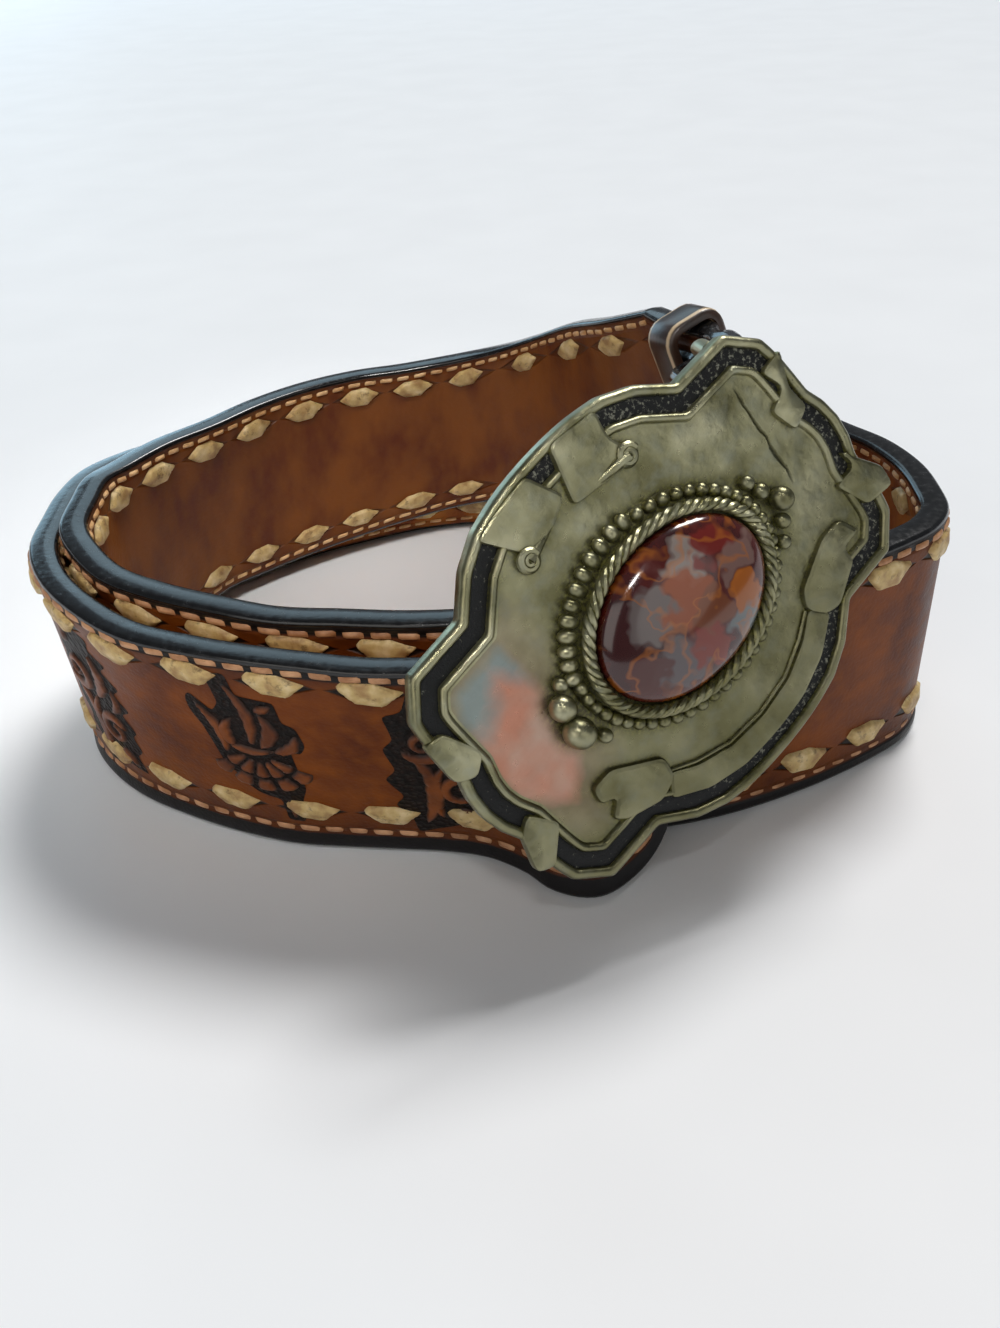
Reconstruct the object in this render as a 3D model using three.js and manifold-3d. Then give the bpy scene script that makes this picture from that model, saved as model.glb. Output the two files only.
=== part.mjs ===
// Western tooled belt, coiled on its edge, with a cast buckle that carries a domed stone.
// Millimetres, +Z up. The strap stands on its lower edge at z = 0, the viewer's side is -Y.
import * as THREE from "three";
import { mergeVertices } from "three/addons/utils/BufferGeometryUtils.js";
import Module from "manifold-3d";

const wasm = await Module();
wasm.setup();

// Strap sizes
const STRAP_WIDTH = 41;
const STRAP_THICKNESS = 4.4;
const EDGE_BEVEL = 0.9;
const COIL_HALF_WIDTH = 70;
const COIL_HALF_DEPTH = 60;
const STATION_STEP = 6;
const TIP_ROUNDING = 12;
const TIP_END_SHARE = 0.45;
const FOLD_THICKNESS = 2.2;
const FOLD_WIDTH = 32;
const RUNNING_GAP = 0.4;

// Keeper loop sizes
const KEEPER_LENGTH = 7;
const KEEPER_THICKNESS = 1.5;
const KEEPER_CORNER = 1.2;
const KEEPER_WIDTH_SHARE = 0.35;

// Buckle plate sizes
const PLATE_HALF_LENGTH = 36.3;
const PLATE_HALF_HEIGHT = 27.8;
const PLATE_THICKNESS = 2.6;
const RIM_WIDTH = 1.5;
const CHANNEL_WIDTH = 2.2;
const INNER_RIM_WIDTH = 1.2;
const INNER_RIM_RAISE = 0.1;
const FIELD_DROP = 0.5;
const CHANNEL_DEPTH = 1.4;
const RIM_ROUNDING = 0.4;
const WRAP_RAISE = 0.7;
const BANNER_RAISE = 0.4;
const RIBBON_ROUNDING = 0.3;
const RIBBON_SINK = 0.25;

// Stone and setting sizes
const STONE_HALF_LENGTH = 13.9;
const STONE_HALF_HEIGHT = 10.1;
const STONE_DOME = 3.6;
const STONE_GIRDLE = 1.6;
const BEZEL_WALL = 0.9;
const BEZEL_HEIGHT = 2.1;
const SEAT_RAISE = 0.1;
const ROPE_RADIUS = 0.9;
const ROPE_TURNS = 38;
const BEAD_RADIUS = 0.94;
const BEAD_COUNT = 50;

// Bail and hook on the back of the plate
const BAIL_WIRE = 2.6;
const BAIL_DROP = 10.6;
const BAIL_FOOT_SHARE = 0.785;
const BAIL_BAR_SHARE = 0.875;
const FOLD_RADIUS = 4.2;
const HOOK_LENGTH = 5;
const HOOK_RADIUS = 1.6;

// Joined pieces run into each other by this much
const OVERLAP = 0.1;
const BALL_SIDES = 10;
const BALL_ROWS = 4;
const OVAL_SIDES = 40;

const LEATHER_BROWN = 0x7a3f17;
const SILVER_GREEN = 0xa3a287;
const ENAMEL_BLACK = 0x16161a;
const STONE_RED = 0x8c4a3c;

// Triangle lists to solids and back
function meshGeometry(vertices, triangles) {
  const geometry = new THREE.BufferGeometry();
  geometry.setAttribute("position", new THREE.Float32BufferAttribute(vertices, 3));
  geometry.setIndex(triangles);
  return geometry;
}

function solidFrom(geometry) {
  const plain = geometry.clone();
  plain.deleteAttribute("normal");
  plain.deleteAttribute("uv");
  const merged = mergeVertices(plain, 1e-4);
  const mesh = new wasm.Mesh({
    numProp: 3,
    vertProperties: new Float32Array(merged.attributes.position.array),
    triVerts: new Uint32Array(merged.index.array),
  });
  return new wasm.Manifold(mesh);
}

function geometryFrom(solid) {
  const mesh = solid.getMesh();
  return meshGeometry(Array.from(mesh.vertProperties), Array.from(mesh.triVerts));
}

function joined(geometries) {
  const solids = geometries.map(solidFrom);
  return geometryFrom(solids.reduce((whole, piece) => whole.add(piece)));
}

// Closes loops of equal length, each joined to the next, into one skin
function loft(loops, closedRound) {
  const count = loops[0].length;
  const vertices = loops.flat().flatMap((point) => [point.x, point.y, point.z]);
  const triangles = [];
  const spans = closedRound ? loops.length : loops.length - 1;
  for (let row = 0; row < spans; row += 1) {
    const here = row * count;
    const next = ((row + 1) % loops.length) * count;
    for (let column = 0; column < count; column += 1) {
      const side = (column + 1) % count;
      triangles.push(here + column, here + side, next + side);
      triangles.push(here + column, next + side, next + column);
    }
  }
  return { vertices, triangles, count };
}

function outward(vertices, triangles) {
  let volume = 0;
  const corner = (index) => new THREE.Vector3().fromArray(vertices, index * 3);
  for (let at = 0; at < triangles.length; at += 3) {
    const first = corner(triangles[at]);
    volume += first.dot(corner(triangles[at + 1]).cross(corner(triangles[at + 2])));
  }
  if (volume > 0) return meshGeometry(vertices, triangles);
  const turned = [];
  for (let at = 0; at < triangles.length; at += 3) {
    turned.push(triangles[at], triangles[at + 2], triangles[at + 1]);
  }
  return meshGeometry(vertices, turned);
}

function ringSkin(loops) {
  const skin = loft(loops, true);
  return outward(skin.vertices, skin.triangles);
}

// A loft with flat ends: flat is the plane outline that is triangulated for both ends
function cappedSkin(loops, flat) {
  const skin = loft(loops, false);
  const last = (loops.length - 1) * skin.count;
  for (const [a, b, c] of THREE.ShapeUtils.triangulateShape(flat, [])) {
    skin.triangles.push(a, c, b);
    skin.triangles.push(last + a, last + b, last + c);
  }
  return outward(skin.vertices, skin.triangles);
}

// Plane outlines: every corner moves in by the same distance
function inset(outline, distance) {
  return outline.map((point, index) => {
    const before = outline[(index + outline.length - 1) % outline.length];
    const after = outline[(index + 1) % outline.length];
    const first = point.clone().sub(before).normalize();
    const second = after.clone().sub(point).normalize();
    const firstSide = new THREE.Vector2(-first.y, first.x);
    const secondSide = new THREE.Vector2(-second.y, second.x);
    const middle = firstSide.clone().add(secondSide).normalize();
    return point.clone().addScaledVector(middle, distance / middle.dot(firstSide));
  });
}

function atHeight(outline, height) {
  return outline.map((point) => new THREE.Vector3(point.x, point.y, height));
}

function counterClockwise(outline) {
  return THREE.ShapeUtils.area(outline) > 0 ? outline : outline.slice().reverse();
}

// A plate with a rounded upper edge
function plateSolid(points, bottom, top, rounding) {
  const outline = counterClockwise(points);
  const loops = [
    atHeight(outline, bottom),
    atHeight(outline, top - rounding),
    atHeight(inset(outline, rounding), top),
  ];
  return cappedSkin(loops, outline);
}

// A raised band that follows an outline between two insets
function bandSolid(points, from, to, bottom, top, rounding) {
  const outline = counterClockwise(points);
  const profile = [
    [from, bottom],
    [from, top - rounding],
    [from + rounding, top],
    [to - rounding, top],
    [to, top - rounding],
    [to, bottom],
  ];
  return ringSkin(profile.map(([distance, height]) => atHeight(inset(outline, distance), height)));
}

function ball(x, y, z, radius, stretch = 1, turn = 0) {
  const sphere = new THREE.SphereGeometry(radius, BALL_SIDES, BALL_ROWS);
  sphere.scale(stretch, 1, 1);
  sphere.rotateZ(turn);
  sphere.translate(x, y, z);
  return sphere;
}

function rod(from, to, radius, sides = 10) {
  const along = to.clone().sub(from);
  const cylinder = new THREE.CylinderGeometry(radius, radius, along.length(), sides);
  const turn = new THREE.Quaternion().setFromUnitVectors(
    new THREE.Vector3(0, 1, 0),
    along.clone().normalize(),
  );
  cylinder.applyQuaternion(turn);
  const middle = from.clone().add(to).multiplyScalar(0.5);
  return cylinder.translate(middle.x, middle.y, middle.z);
}

// Where the buckle plate stands: it leans back on the strap, turned in its own plane
const plateAcross = new THREE.Vector3(0.6965, 0.5221, 0.4923).normalize();
const plateFacing = new THREE.Vector3(0.3601, -0.8477, 0.3895);
plateFacing.addScaledVector(plateAcross, -plateFacing.dot(plateAcross)).normalize();
const plateUp = new THREE.Vector3().crossVectors(plateFacing, plateAcross);
const PLATE_PLACE = { x: 0.294, y: -0.881, z: 1.037 };
const PLATE_STANDOFF = 1.1;
const plateCentre = new THREE.Vector3(
  PLATE_PLACE.x * COIL_HALF_WIDTH,
  PLATE_PLACE.y * COIL_HALF_DEPTH,
  PLATE_PLACE.z * STRAP_WIDTH,
).addScaledVector(plateFacing, PLATE_STANDOFF * STRAP_THICKNESS);

function onPlate(u, v, w) {
  return plateCentre
    .clone()
    .addScaledVector(plateAcross, u)
    .addScaledVector(plateUp, v)
    .addScaledVector(plateFacing, w);
}

// The strap's route, from its free tip to the buckle's bail.
// Columns: x and y of the lower edge as shares of the coil's half width and half depth,
// lean of the upper edge in x and y and lift of the lower edge as shares of the strap's width.
const STRAP_ROUTE = [
  [0.321, -0.937, 0.01, 0.08, 0],
  [0.243, -0.993, 0.01, 0.11, 0],
  [0.164, -1.03, 0.01, 0.12, 0],
  [0.1, -1.003, 0.01, 0.04, 0],
  [0.05, -0.937, 0, -0.09, 0],
  [-0.029, -0.873, -0.01, -0.18, 0],
  [-0.129, -0.837, -0.02, -0.23, 0],
  [-0.243, -0.817, -0.02, -0.24, 0],
  [-0.357, -0.798, -0.03, -0.22, 0],
  [-0.457, -0.778, -0.04, -0.2, 0],
  [-0.571, -0.73, -0.06, -0.19, 0],
  [-0.696, -0.658, -0.08, -0.18, 0],
  [-0.821, -0.567, -0.08, -0.12, 0],
  [-0.917, -0.457, -0.07, -0.07, 0],
  [-0.98, -0.34, -0.05, -0.02, 0],
  [-1.013, -0.2, -0.01, 0, 0],
  [-1.019, -0.05, 0, 0, 0],
  [-1.004, 0.12, 0.02, -0.04, 0],
  [-0.966, 0.307, 0.08, -0.13, 0],
  [-0.874, 0.493, 0.13, -0.2, 0],
  [-0.743, 0.637, 0.11, -0.18, 0],
  [-0.579, 0.772, 0.1, -0.19, 0],
  [-0.407, 0.867, 0.09, -0.23, 0],
  [-0.229, 0.942, 0.06, -0.28, 0],
  [-0.036, 0.967, 0.03, -0.3, 0],
  [0.164, 0.95, 0, -0.3, 0],
  [0.364, 0.87, -0.04, -0.26, 0],
  [0.55, 0.725, -0.05, -0.2, 0],
  [0.711, 0.542, -0.05, -0.14, 0],
  [0.837, 0.347, -0.04, -0.09, 0],
  [0.911, 0.15, -0.03, -0.04, 0],
  [0.969, 0.01, -0.02, -0.02, 0],
  [0.997, -0.15, -0.01, -0.01, 0],
  [0.997, -0.297, -0.01, 0, 0],
  [0.977, -0.403, 0, -0.01, 0],
  [0.929, -0.487, 0, -0.01, 0],
  [0.847, -0.557, 0, -0.01, 0],
  [0.743, -0.627, 0, -0.01, 0],
  [0.646, -0.682, 0, -0.01, 0],
  [0.5, -0.748, 0, -0.01, 0],
  [0.357, -0.787, 0, -0.02, 0],
  [0.229, -0.793, 0, -0.03, 0],
  [0.1, -0.787, -0.01, -0.06, 0],
  [-0.043, -0.77, -0.01, -0.08, 0],
  [-0.171, -0.74, -0.02, -0.11, 0],
  [-0.3, -0.717, -0.02, -0.11, 0],
  [-0.429, -0.69, -0.03, -0.11, 0],
  [-0.55, -0.64, -0.05, -0.1, 0.01],
  [-0.657, -0.577, -0.07, -0.1, 0.02],
  [-0.763, -0.493, -0.08, -0.1, 0.03],
  [-0.849, -0.398, -0.07, -0.07, 0.04],
  [-0.903, -0.287, -0.07, -0.05, 0.05],
  [-0.931, -0.163, -0.03, -0.02, 0.06],
  [-0.937, -0.027, -0.01, -0.06, 0.07],
  [-0.923, 0.107, 0.03, -0.12, 0.07],
  [-0.883, 0.277, 0.09, -0.16, 0.08],
  [-0.809, 0.437, 0.14, -0.2, 0.09],
  [-0.693, 0.56, 0.12, -0.18, 0.09],
  [-0.564, 0.663, 0.11, -0.18, 0.1],
  [-0.421, 0.75, 0.1, -0.22, 0.12],
  [-0.271, 0.815, 0.08, -0.29, 0.15],
  [-0.123, 0.845, 0.07, -0.325, 0.19],
  [0.029, 0.8, 0.02, -0.33, 0.25],
  [0.177, 0.65, -0.06, -0.25, 0.32],
  [0.329, 0.42, -0.16, -0.15, 0.44],
  [0.486, 0.163, -0.31, -0.05, 0.57],
  [0.58, -0.02, -0.33, -0.02, 0.68],
];

// The keeper's place: its upper edge as shares of the coil's half sizes and the strap's width
const KEEPER_PLACE = { x: 0.444, y: -0.225, z: 1.655 };
const KEEPER_TRAVEL = new THREE.Vector3(0.31, -0.9, 0.31).normalize();
const KEEPER_UP = new THREE.Vector3(-0.36, 0, 0.933);

// A frame for the buckle end: travel runs towards the bar, up along the width, side across
function endFrame(centre, travel, up) {
  const upward = up.clone().normalize();
  const along = travel.clone().addScaledVector(upward, -travel.dot(upward)).normalize();
  return { centre, travel: along, up: upward, side: new THREE.Vector3().crossVectors(upward, along) };
}

const widthAtKeeper = THREE.MathUtils.lerp(STRAP_WIDTH, FOLD_WIDTH, KEEPER_WIDTH_SHARE);
const thicknessAtKeeper = THREE.MathUtils.lerp(STRAP_THICKNESS, FOLD_THICKNESS, KEEPER_WIDTH_SHARE);
const keeperCentre = new THREE.Vector3(
  KEEPER_PLACE.x * COIL_HALF_WIDTH,
  KEEPER_PLACE.y * COIL_HALF_DEPTH,
  KEEPER_PLACE.z * STRAP_WIDTH,
).addScaledVector(KEEPER_UP, -widthAtKeeper / 2);
const keeperFrame = endFrame(keeperCentre, KEEPER_TRAVEL, KEEPER_UP);
const barCentre = onPlate(BAIL_BAR_SHARE * PLATE_HALF_LENGTH, 0, -BAIL_DROP);
const foldFrame = endFrame(barCentre, new THREE.Vector3(0.175, -0.95, 0.25), plateUp);

// Travel and side of the strap's layers near the bar, as shares of the fold's radius
const FOLD_MAIN = [
  [-1.5, 1],
  [-0.7, 1.1],
];
const FOLD_RETURN = [
  [-0.7, -0.97],
  [-1.6, -0.8],
];
const returnSide = -(thicknessAtKeeper / 2 + RUNNING_GAP + FOLD_THICKNESS / 2);

function coilStations() {
  return STRAP_ROUTE.map(([x, y, leanX, leanY, lift]) => {
    const bottom = new THREE.Vector3(x * COIL_HALF_WIDTH, y * COIL_HALF_DEPTH, lift * STRAP_WIDTH);
    const rise = Math.sqrt(1 - leanX * leanX - leanY * leanY);
    const top = bottom.clone().add(new THREE.Vector3(leanX, leanY, rise).multiplyScalar(STRAP_WIDTH));
    return { bottom, top, thickness: STRAP_THICKNESS, upright: 1 };
  });
}

function endStation(frame, travel, side, width, thickness) {
  const centre = frame.centre
    .clone()
    .addScaledVector(frame.travel, travel)
    .addScaledVector(frame.side, side);
  return {
    bottom: centre.clone().addScaledVector(frame.up, -width / 2),
    top: centre.clone().addScaledVector(frame.up, width / 2),
    thickness,
    upright: 0,
  };
}

function foldStation(travelShare, sideShare) {
  const travel = travelShare * FOLD_RADIUS;
  const side = sideShare * FOLD_RADIUS;
  return endStation(foldFrame, travel, side, FOLD_WIDTH, FOLD_THICKNESS);
}

function foldStations() {
  const turn = [];
  const turnSteps = 7;
  for (let step = 0; step <= turnSteps; step += 1) {
    const angle = Math.PI / 2 - (Math.PI * step) / turnSteps;
    turn.push(foldStation(Math.cos(angle), Math.sin(angle)));
  }
  const reach = KEEPER_LENGTH / 2 + 1;
  const atKeeper = (travel) =>
    endStation(keeperFrame, travel, 0, widthAtKeeper, thicknessAtKeeper);
  const behindKeeper = (travel) =>
    endStation(keeperFrame, travel, returnSide, FOLD_WIDTH, FOLD_THICKNESS);
  return [
    atKeeper(-reach),
    atKeeper(0),
    atKeeper(reach),
    ...FOLD_MAIN.map((row) => foldStation(...row)),
    ...turn,
    ...FOLD_RETURN.map((row) => foldStation(...row)),
    behindKeeper(reach),
    behindKeeper(0),
    behindKeeper(-reach - 1),
  ];
}

// Even stations along the route, by smooth curves through the edge points
function smoothStations(rows) {
  const bottoms = new THREE.CatmullRomCurve3(rows.map((row) => row.bottom), false, "centripetal");
  const tops = new THREE.CatmullRomCurve3(rows.map((row) => row.top), false, "centripetal");
  const spans = rows.length - 1;
  const stations = [];
  for (let span = 0; span < spans; span += 1) {
    const here = rows[span];
    const next = rows[span + 1];
    const middle = here.bottom.clone().add(here.top).multiplyScalar(0.5);
    const nextMiddle = next.bottom.clone().add(next.top).multiplyScalar(0.5);
    const steps = Math.max(1, Math.round(middle.distanceTo(nextMiddle) / STATION_STEP));
    for (let step = 0; step < steps; step += 1) {
      const share = (span + step / steps) / spans;
      const mix = step / steps;
      stations.push({
        bottom: bottoms.getPoint(share),
        top: tops.getPoint(share),
        thickness: THREE.MathUtils.lerp(here.thickness, next.thickness, mix),
        upright: THREE.MathUtils.lerp(here.upright, next.upright, mix),
      });
    }
  }
  stations.push(rows[spans]);
  return stations;
}

// The rounded free tip: the width narrows over its last few millimetres
function roundTip(stations) {
  let run = 0;
  return stations.map((station, index) => {
    if (index > 0) run += station.bottom.distanceTo(stations[index - 1].bottom);
    if (run >= TIP_ROUNDING) return station;
    const left = 1 - run / TIP_ROUNDING;
    const share = TIP_END_SHARE + (1 - TIP_END_SHARE) * Math.sqrt(1 - left * left);
    const middle = station.bottom.clone().add(station.top).multiplyScalar(0.5);
    return {
      ...station,
      bottom: middle.clone().lerp(station.bottom, share),
      top: middle.clone().lerp(station.top, share),
    };
  });
}

// The strap's section, bevelled at its four corners: x across the thickness, y up the width
function bevelledSection(thickness, width) {
  const half = thickness / 2;
  const corners = [
    [half - EDGE_BEVEL, 0],
    [half, EDGE_BEVEL],
    [half, width - EDGE_BEVEL],
    [half - EDGE_BEVEL, width],
    [EDGE_BEVEL - half, width],
    [-half, width - EDGE_BEVEL],
    [-half, EDGE_BEVEL],
    [EDGE_BEVEL - half, 0],
  ];
  return corners.map(([out, high]) => new THREE.Vector2(out, high));
}

function strapSection(station, tangent) {
  const up = station.top.clone().sub(station.bottom);
  const width = up.length();
  up.divideScalar(width);
  const side = new THREE.Vector3().crossVectors(tangent, up).normalize();
  const level = new THREE.Vector3(side.x, side.y, 0).normalize();
  side.lerp(level, station.upright).normalize();
  return bevelledSection(station.thickness, width).map((corner) =>
    station.bottom.clone().addScaledVector(up, corner.y).addScaledVector(side, corner.x),
  );
}

function strapGeometry() {
  const coil = coilStations();
  const joint = [coil.at(-1), ...foldStations()];
  const stations = [...roundTip(smoothStations(coil)), ...smoothStations(joint).slice(1)];
  const middles = stations.map((one) => one.bottom.clone().add(one.top).multiplyScalar(0.5));
  const loops = stations.map((station, index) => {
    const before = middles[Math.max(index - 1, 0)];
    const after = middles[Math.min(index + 1, middles.length - 1)];
    return strapSection(station, after.clone().sub(before).normalize());
  });
  return cappedSkin(loops, bevelledSection(STRAP_THICKNESS, STRAP_WIDTH));
}

// The keeper: a flat leather ring round the strap and the folded end
function keeperGeometry() {
  const sideFrom = returnSide - FOLD_THICKNESS / 2 - RUNNING_GAP;
  const sideTo = thicknessAtKeeper / 2 + RUNNING_GAP;
  const middleSide = (sideFrom + sideTo) / 2;
  const halfSide = (sideTo - sideFrom) / 2;
  const halfUp = widthAtKeeper / 2 + RUNNING_GAP;
  const loopAt = (grow, travel) => {
    const points = [];
    for (const [signSide, signUp, start] of [[1, 1, 0], [-1, 1, 1], [-1, -1, 2], [1, -1, 3]]) {
      for (const step of [0, 0.5, 1]) {
        const angle = ((start + step) * Math.PI) / 2;
        const side = signSide * (halfSide - KEEPER_CORNER) + Math.cos(angle) * (KEEPER_CORNER + grow);
        const up = signUp * (halfUp - KEEPER_CORNER) + Math.sin(angle) * (KEEPER_CORNER + grow);
        points.push(
          keeperFrame.centre
            .clone()
            .addScaledVector(keeperFrame.travel, travel)
            .addScaledVector(keeperFrame.side, middleSide + side)
            .addScaledVector(keeperFrame.up, up),
        );
      }
    }
    return points;
  };
  const near = KEEPER_LENGTH / 2;
  const far = -KEEPER_LENGTH / 2;
  return ringSkin([
    loopAt(0, near),
    loopAt(KEEPER_THICKNESS, near),
    loopAt(KEEPER_THICKNESS, far),
    loopAt(0, far),
  ]);
}

// The plate's outline: one quarter, as shares of its half length and half height
const OUTLINE_QUARTER = [
  [1, 0],
  [0.989, 0.113],
  [0.962, 0.212],
  [0.957, 0.438],
  [0.938, 0.562],
  [0.827, 0.717],
  [0.575, 0.724],
  [0.45, 0.866],
  [0.325, 0.947],
  [0.176, 0.989],
];

function plateOutline() {
  const quarter = OUTLINE_QUARTER.map(([u, v]) => [u * PLATE_HALF_LENGTH, v * PLATE_HALF_HEIGHT]);
  const crown = [[0, PLATE_HALF_HEIGHT]];
  const left = quarter.slice().reverse().map(([u, v]) => [-u, v]);
  const upper = [...quarter, ...crown, ...left];
  const lower = upper.slice(1, -1).map(([u, v]) => [-u, -v]);
  return [...upper, ...lower].map(([u, v]) => new THREE.Vector2(u, v));
}

function shareOutline(shares) {
  return shares.map(([u, v]) => new THREE.Vector2(u * PLATE_HALF_LENGTH, v * PLATE_HALF_HEIGHT));
}

// Ribbons that cross the channel, as shares of the plate's half sizes
const END_WRAP = [
  [-0.972, 0.43],
  [-0.86, 0.41],
  [-0.815, 0.235],
  [-0.86, 0.205],
  [-0.978, 0.2],
];
const TOP_WRAP = [
  [-0.26, 0.935],
  [-0.07, 0.965],
  [-0.03, 0.8],
  [-0.04, 0.73],
  [-0.21, 0.69],
  [-0.235, 0.79],
];
const WRAP_CURL = { u: -0.262, v: 0.7, radius: 1.25 };
const BANNER_TAIL = [
  [-0.68, -0.32],
  [-0.52, -0.35],
  [-0.42, -0.43],
  [-0.385, -0.56],
  [-0.42, -0.64],
  [-0.5, -0.6],
  [-0.64, -0.56],
  [-0.7, -0.5],
  [-0.655, -0.44],
  [-0.685, -0.38],
];

function mirrored(shares, signU, signV) {
  return shares.map(([u, v]) => [u * signU, v * signV]);
}

// The banner's middle: an arc-shaped band along the lower arch
function bannerBand() {
  const reach = 0.42;
  const steps = 8;
  const lower = [];
  const upper = [];
  for (let step = 0; step <= steps; step += 1) {
    const share = (2 * step) / steps - 1;
    lower.push([share * reach, -0.855 + 0.12 * share * share]);
    upper.push([-share * reach, -0.71 + 0.11 * share * share]);
  }
  return [...lower, ...upper];
}

const fieldTop = -FIELD_DROP;
const channelFloor = -CHANNEL_DEPTH;
const SETTING_OFFSET = { u: 0.9, v: -0.3 };
const ROPE_OFFSET = RUNNING_GAP + ROPE_RADIUS - OVERLAP;
const BEAD_OFFSET = ROPE_OFFSET + ROPE_RADIUS + BEAD_RADIUS;
const LARGE_BEADS = { from: 80, to: 165, stretch: 1.4 };

function ellipse(halfLength, halfHeight, count) {
  const points = [];
  for (let step = 0; step < count; step += 1) {
    const angle = (2 * Math.PI * step) / count;
    points.push(new THREE.Vector2(halfLength * Math.cos(angle), halfHeight * Math.sin(angle)));
  }
  return points;
}

function plateFrame() {
  const outline = plateOutline();
  const channelEnd = RIM_WIDTH + CHANNEL_WIDTH;
  const sunk = channelFloor - OVERLAP;
  const fieldOutline = inset(outline, channelEnd + RIM_ROUNDING);
  return [
    plateSolid(outline, -PLATE_THICKNESS, channelFloor, RIM_ROUNDING / 2),
    bandSolid(outline, OVERLAP / 10, RIM_WIDTH, sunk - RIM_ROUNDING, 0, RIM_ROUNDING),
    bandSolid(outline, channelEnd, channelEnd + INNER_RIM_WIDTH, sunk, INNER_RIM_RAISE, RIM_ROUNDING),
    plateSolid(fieldOutline, sunk, fieldTop, OVERLAP / 2),
  ];
}

function plateRibbons() {
  const foot = fieldTop - OVERLAP;
  const pieces = [];
  for (const signU of [-1, 1]) {
    for (const signV of [-1, 1]) {
      const endWrap = shareOutline(mirrored(END_WRAP, signU, signV));
      pieces.push(plateSolid(endWrap, -RIBBON_SINK, WRAP_RAISE, RIBBON_ROUNDING));
    }
    const topWrap = shareOutline(mirrored(TOP_WRAP, -signU, 1));
    const tail = shareOutline(mirrored(BANNER_TAIL, -signU, 1));
    pieces.push(plateSolid(topWrap, -RIBBON_SINK, WRAP_RAISE, RIBBON_ROUNDING));
    pieces.push(plateSolid(tail, foot, BANNER_RAISE, RIBBON_ROUNDING));
    const curl = ellipse(WRAP_CURL.radius, WRAP_CURL.radius, 12);
    const place = new THREE.Vector2(
      -signU * WRAP_CURL.u * PLATE_HALF_LENGTH,
      WRAP_CURL.v * PLATE_HALF_HEIGHT,
    );
    const curlOutline = curl.map((point) => point.add(place));
    pieces.push(plateSolid(curlOutline, foot, WRAP_RAISE + OVERLAP, RIM_ROUNDING));
  }
  pieces.push(plateSolid(shareOutline(bannerBand()), foot, BANNER_RAISE, RIBBON_ROUNDING));
  return pieces;
}

// The rope ring: an oval tube whose three-lobed section turns as it goes round
function ropeRing() {
  const steps = 64;
  const sides = 8;
  const lobe = 0.1;
  const halfLength = STONE_HALF_LENGTH + ROPE_OFFSET;
  const halfHeight = STONE_HALF_HEIGHT + ROPE_OFFSET;
  const loops = [];
  for (let step = 0; step < steps; step += 1) {
    const angle = (2 * Math.PI * step) / steps;
    const centre = new THREE.Vector3(halfLength * Math.cos(angle), halfHeight * Math.sin(angle), 0);
    const outside = new THREE.Vector3(halfHeight * Math.cos(angle), halfLength * Math.sin(angle), 0);
    outside.normalize();
    const loop = [];
    for (let side = 0; side < sides; side += 1) {
      const round = (2 * Math.PI * side) / sides;
      const twist = 3 * round + (ROPE_TURNS / 2) * angle;
      const radius = ROPE_RADIUS * (1 + lobe * Math.cos(twist));
      const point = centre.clone().addScaledVector(outside, radius * Math.cos(round));
      point.z += BEZEL_HEIGHT + radius * Math.sin(round);
      loop.push(point);
    }
    loops.push(loop);
  }
  return ringSkin(loops);
}

// Beads round the setting: the upper left ones are larger and stand out from the stone
function settingBeads() {
  const beads = [];
  const halfLength = STONE_HALF_LENGTH + BEAD_OFFSET;
  const halfHeight = STONE_HALF_HEIGHT + BEAD_OFFSET;
  for (let index = 0; index < BEAD_COUNT; index += 1) {
    const angle = (2 * Math.PI * (index + 0.5)) / BEAD_COUNT;
    const degrees = THREE.MathUtils.radToDeg(angle);
    const large = degrees > LARGE_BEADS.from && degrees < LARGE_BEADS.to;
    const stretch = large ? LARGE_BEADS.stretch : 1;
    const outside = Math.atan2(halfLength * Math.sin(angle), halfHeight * Math.cos(angle));
    const reach = (stretch - 1) * BEAD_RADIUS;
    beads.push(
      ball(
        halfLength * Math.cos(angle) + reach * Math.cos(outside),
        halfHeight * Math.sin(angle) + reach * Math.sin(outside),
        fieldTop + BEAD_RADIUS,
        BEAD_RADIUS,
        stretch,
        outside,
      ),
    );
  }
  return beads;
}

// Ball clusters at both ends of the stone.
// Columns: place along and up as shares of the stone's half sizes, radius in bead radii.
const LEFT_CLUSTER = [
  [-1.504, -0.119, 2.23],
  [-1.453, 0.267, 1.86],
  [-1.338, -0.455, 1.06],
  [-1.309, 0.485, 1.06],
];
const RIGHT_CLUSTER = [
  [1.504, -0.109, 1.7],
  [1.396, 0.168, 1.17],
  [1.381, -0.356, 1.12],
  [1.338, 0.396, 1.06],
  [1.252, -0.574, 1.06],
];
const CLUSTER_RISE = 0.8;

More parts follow.
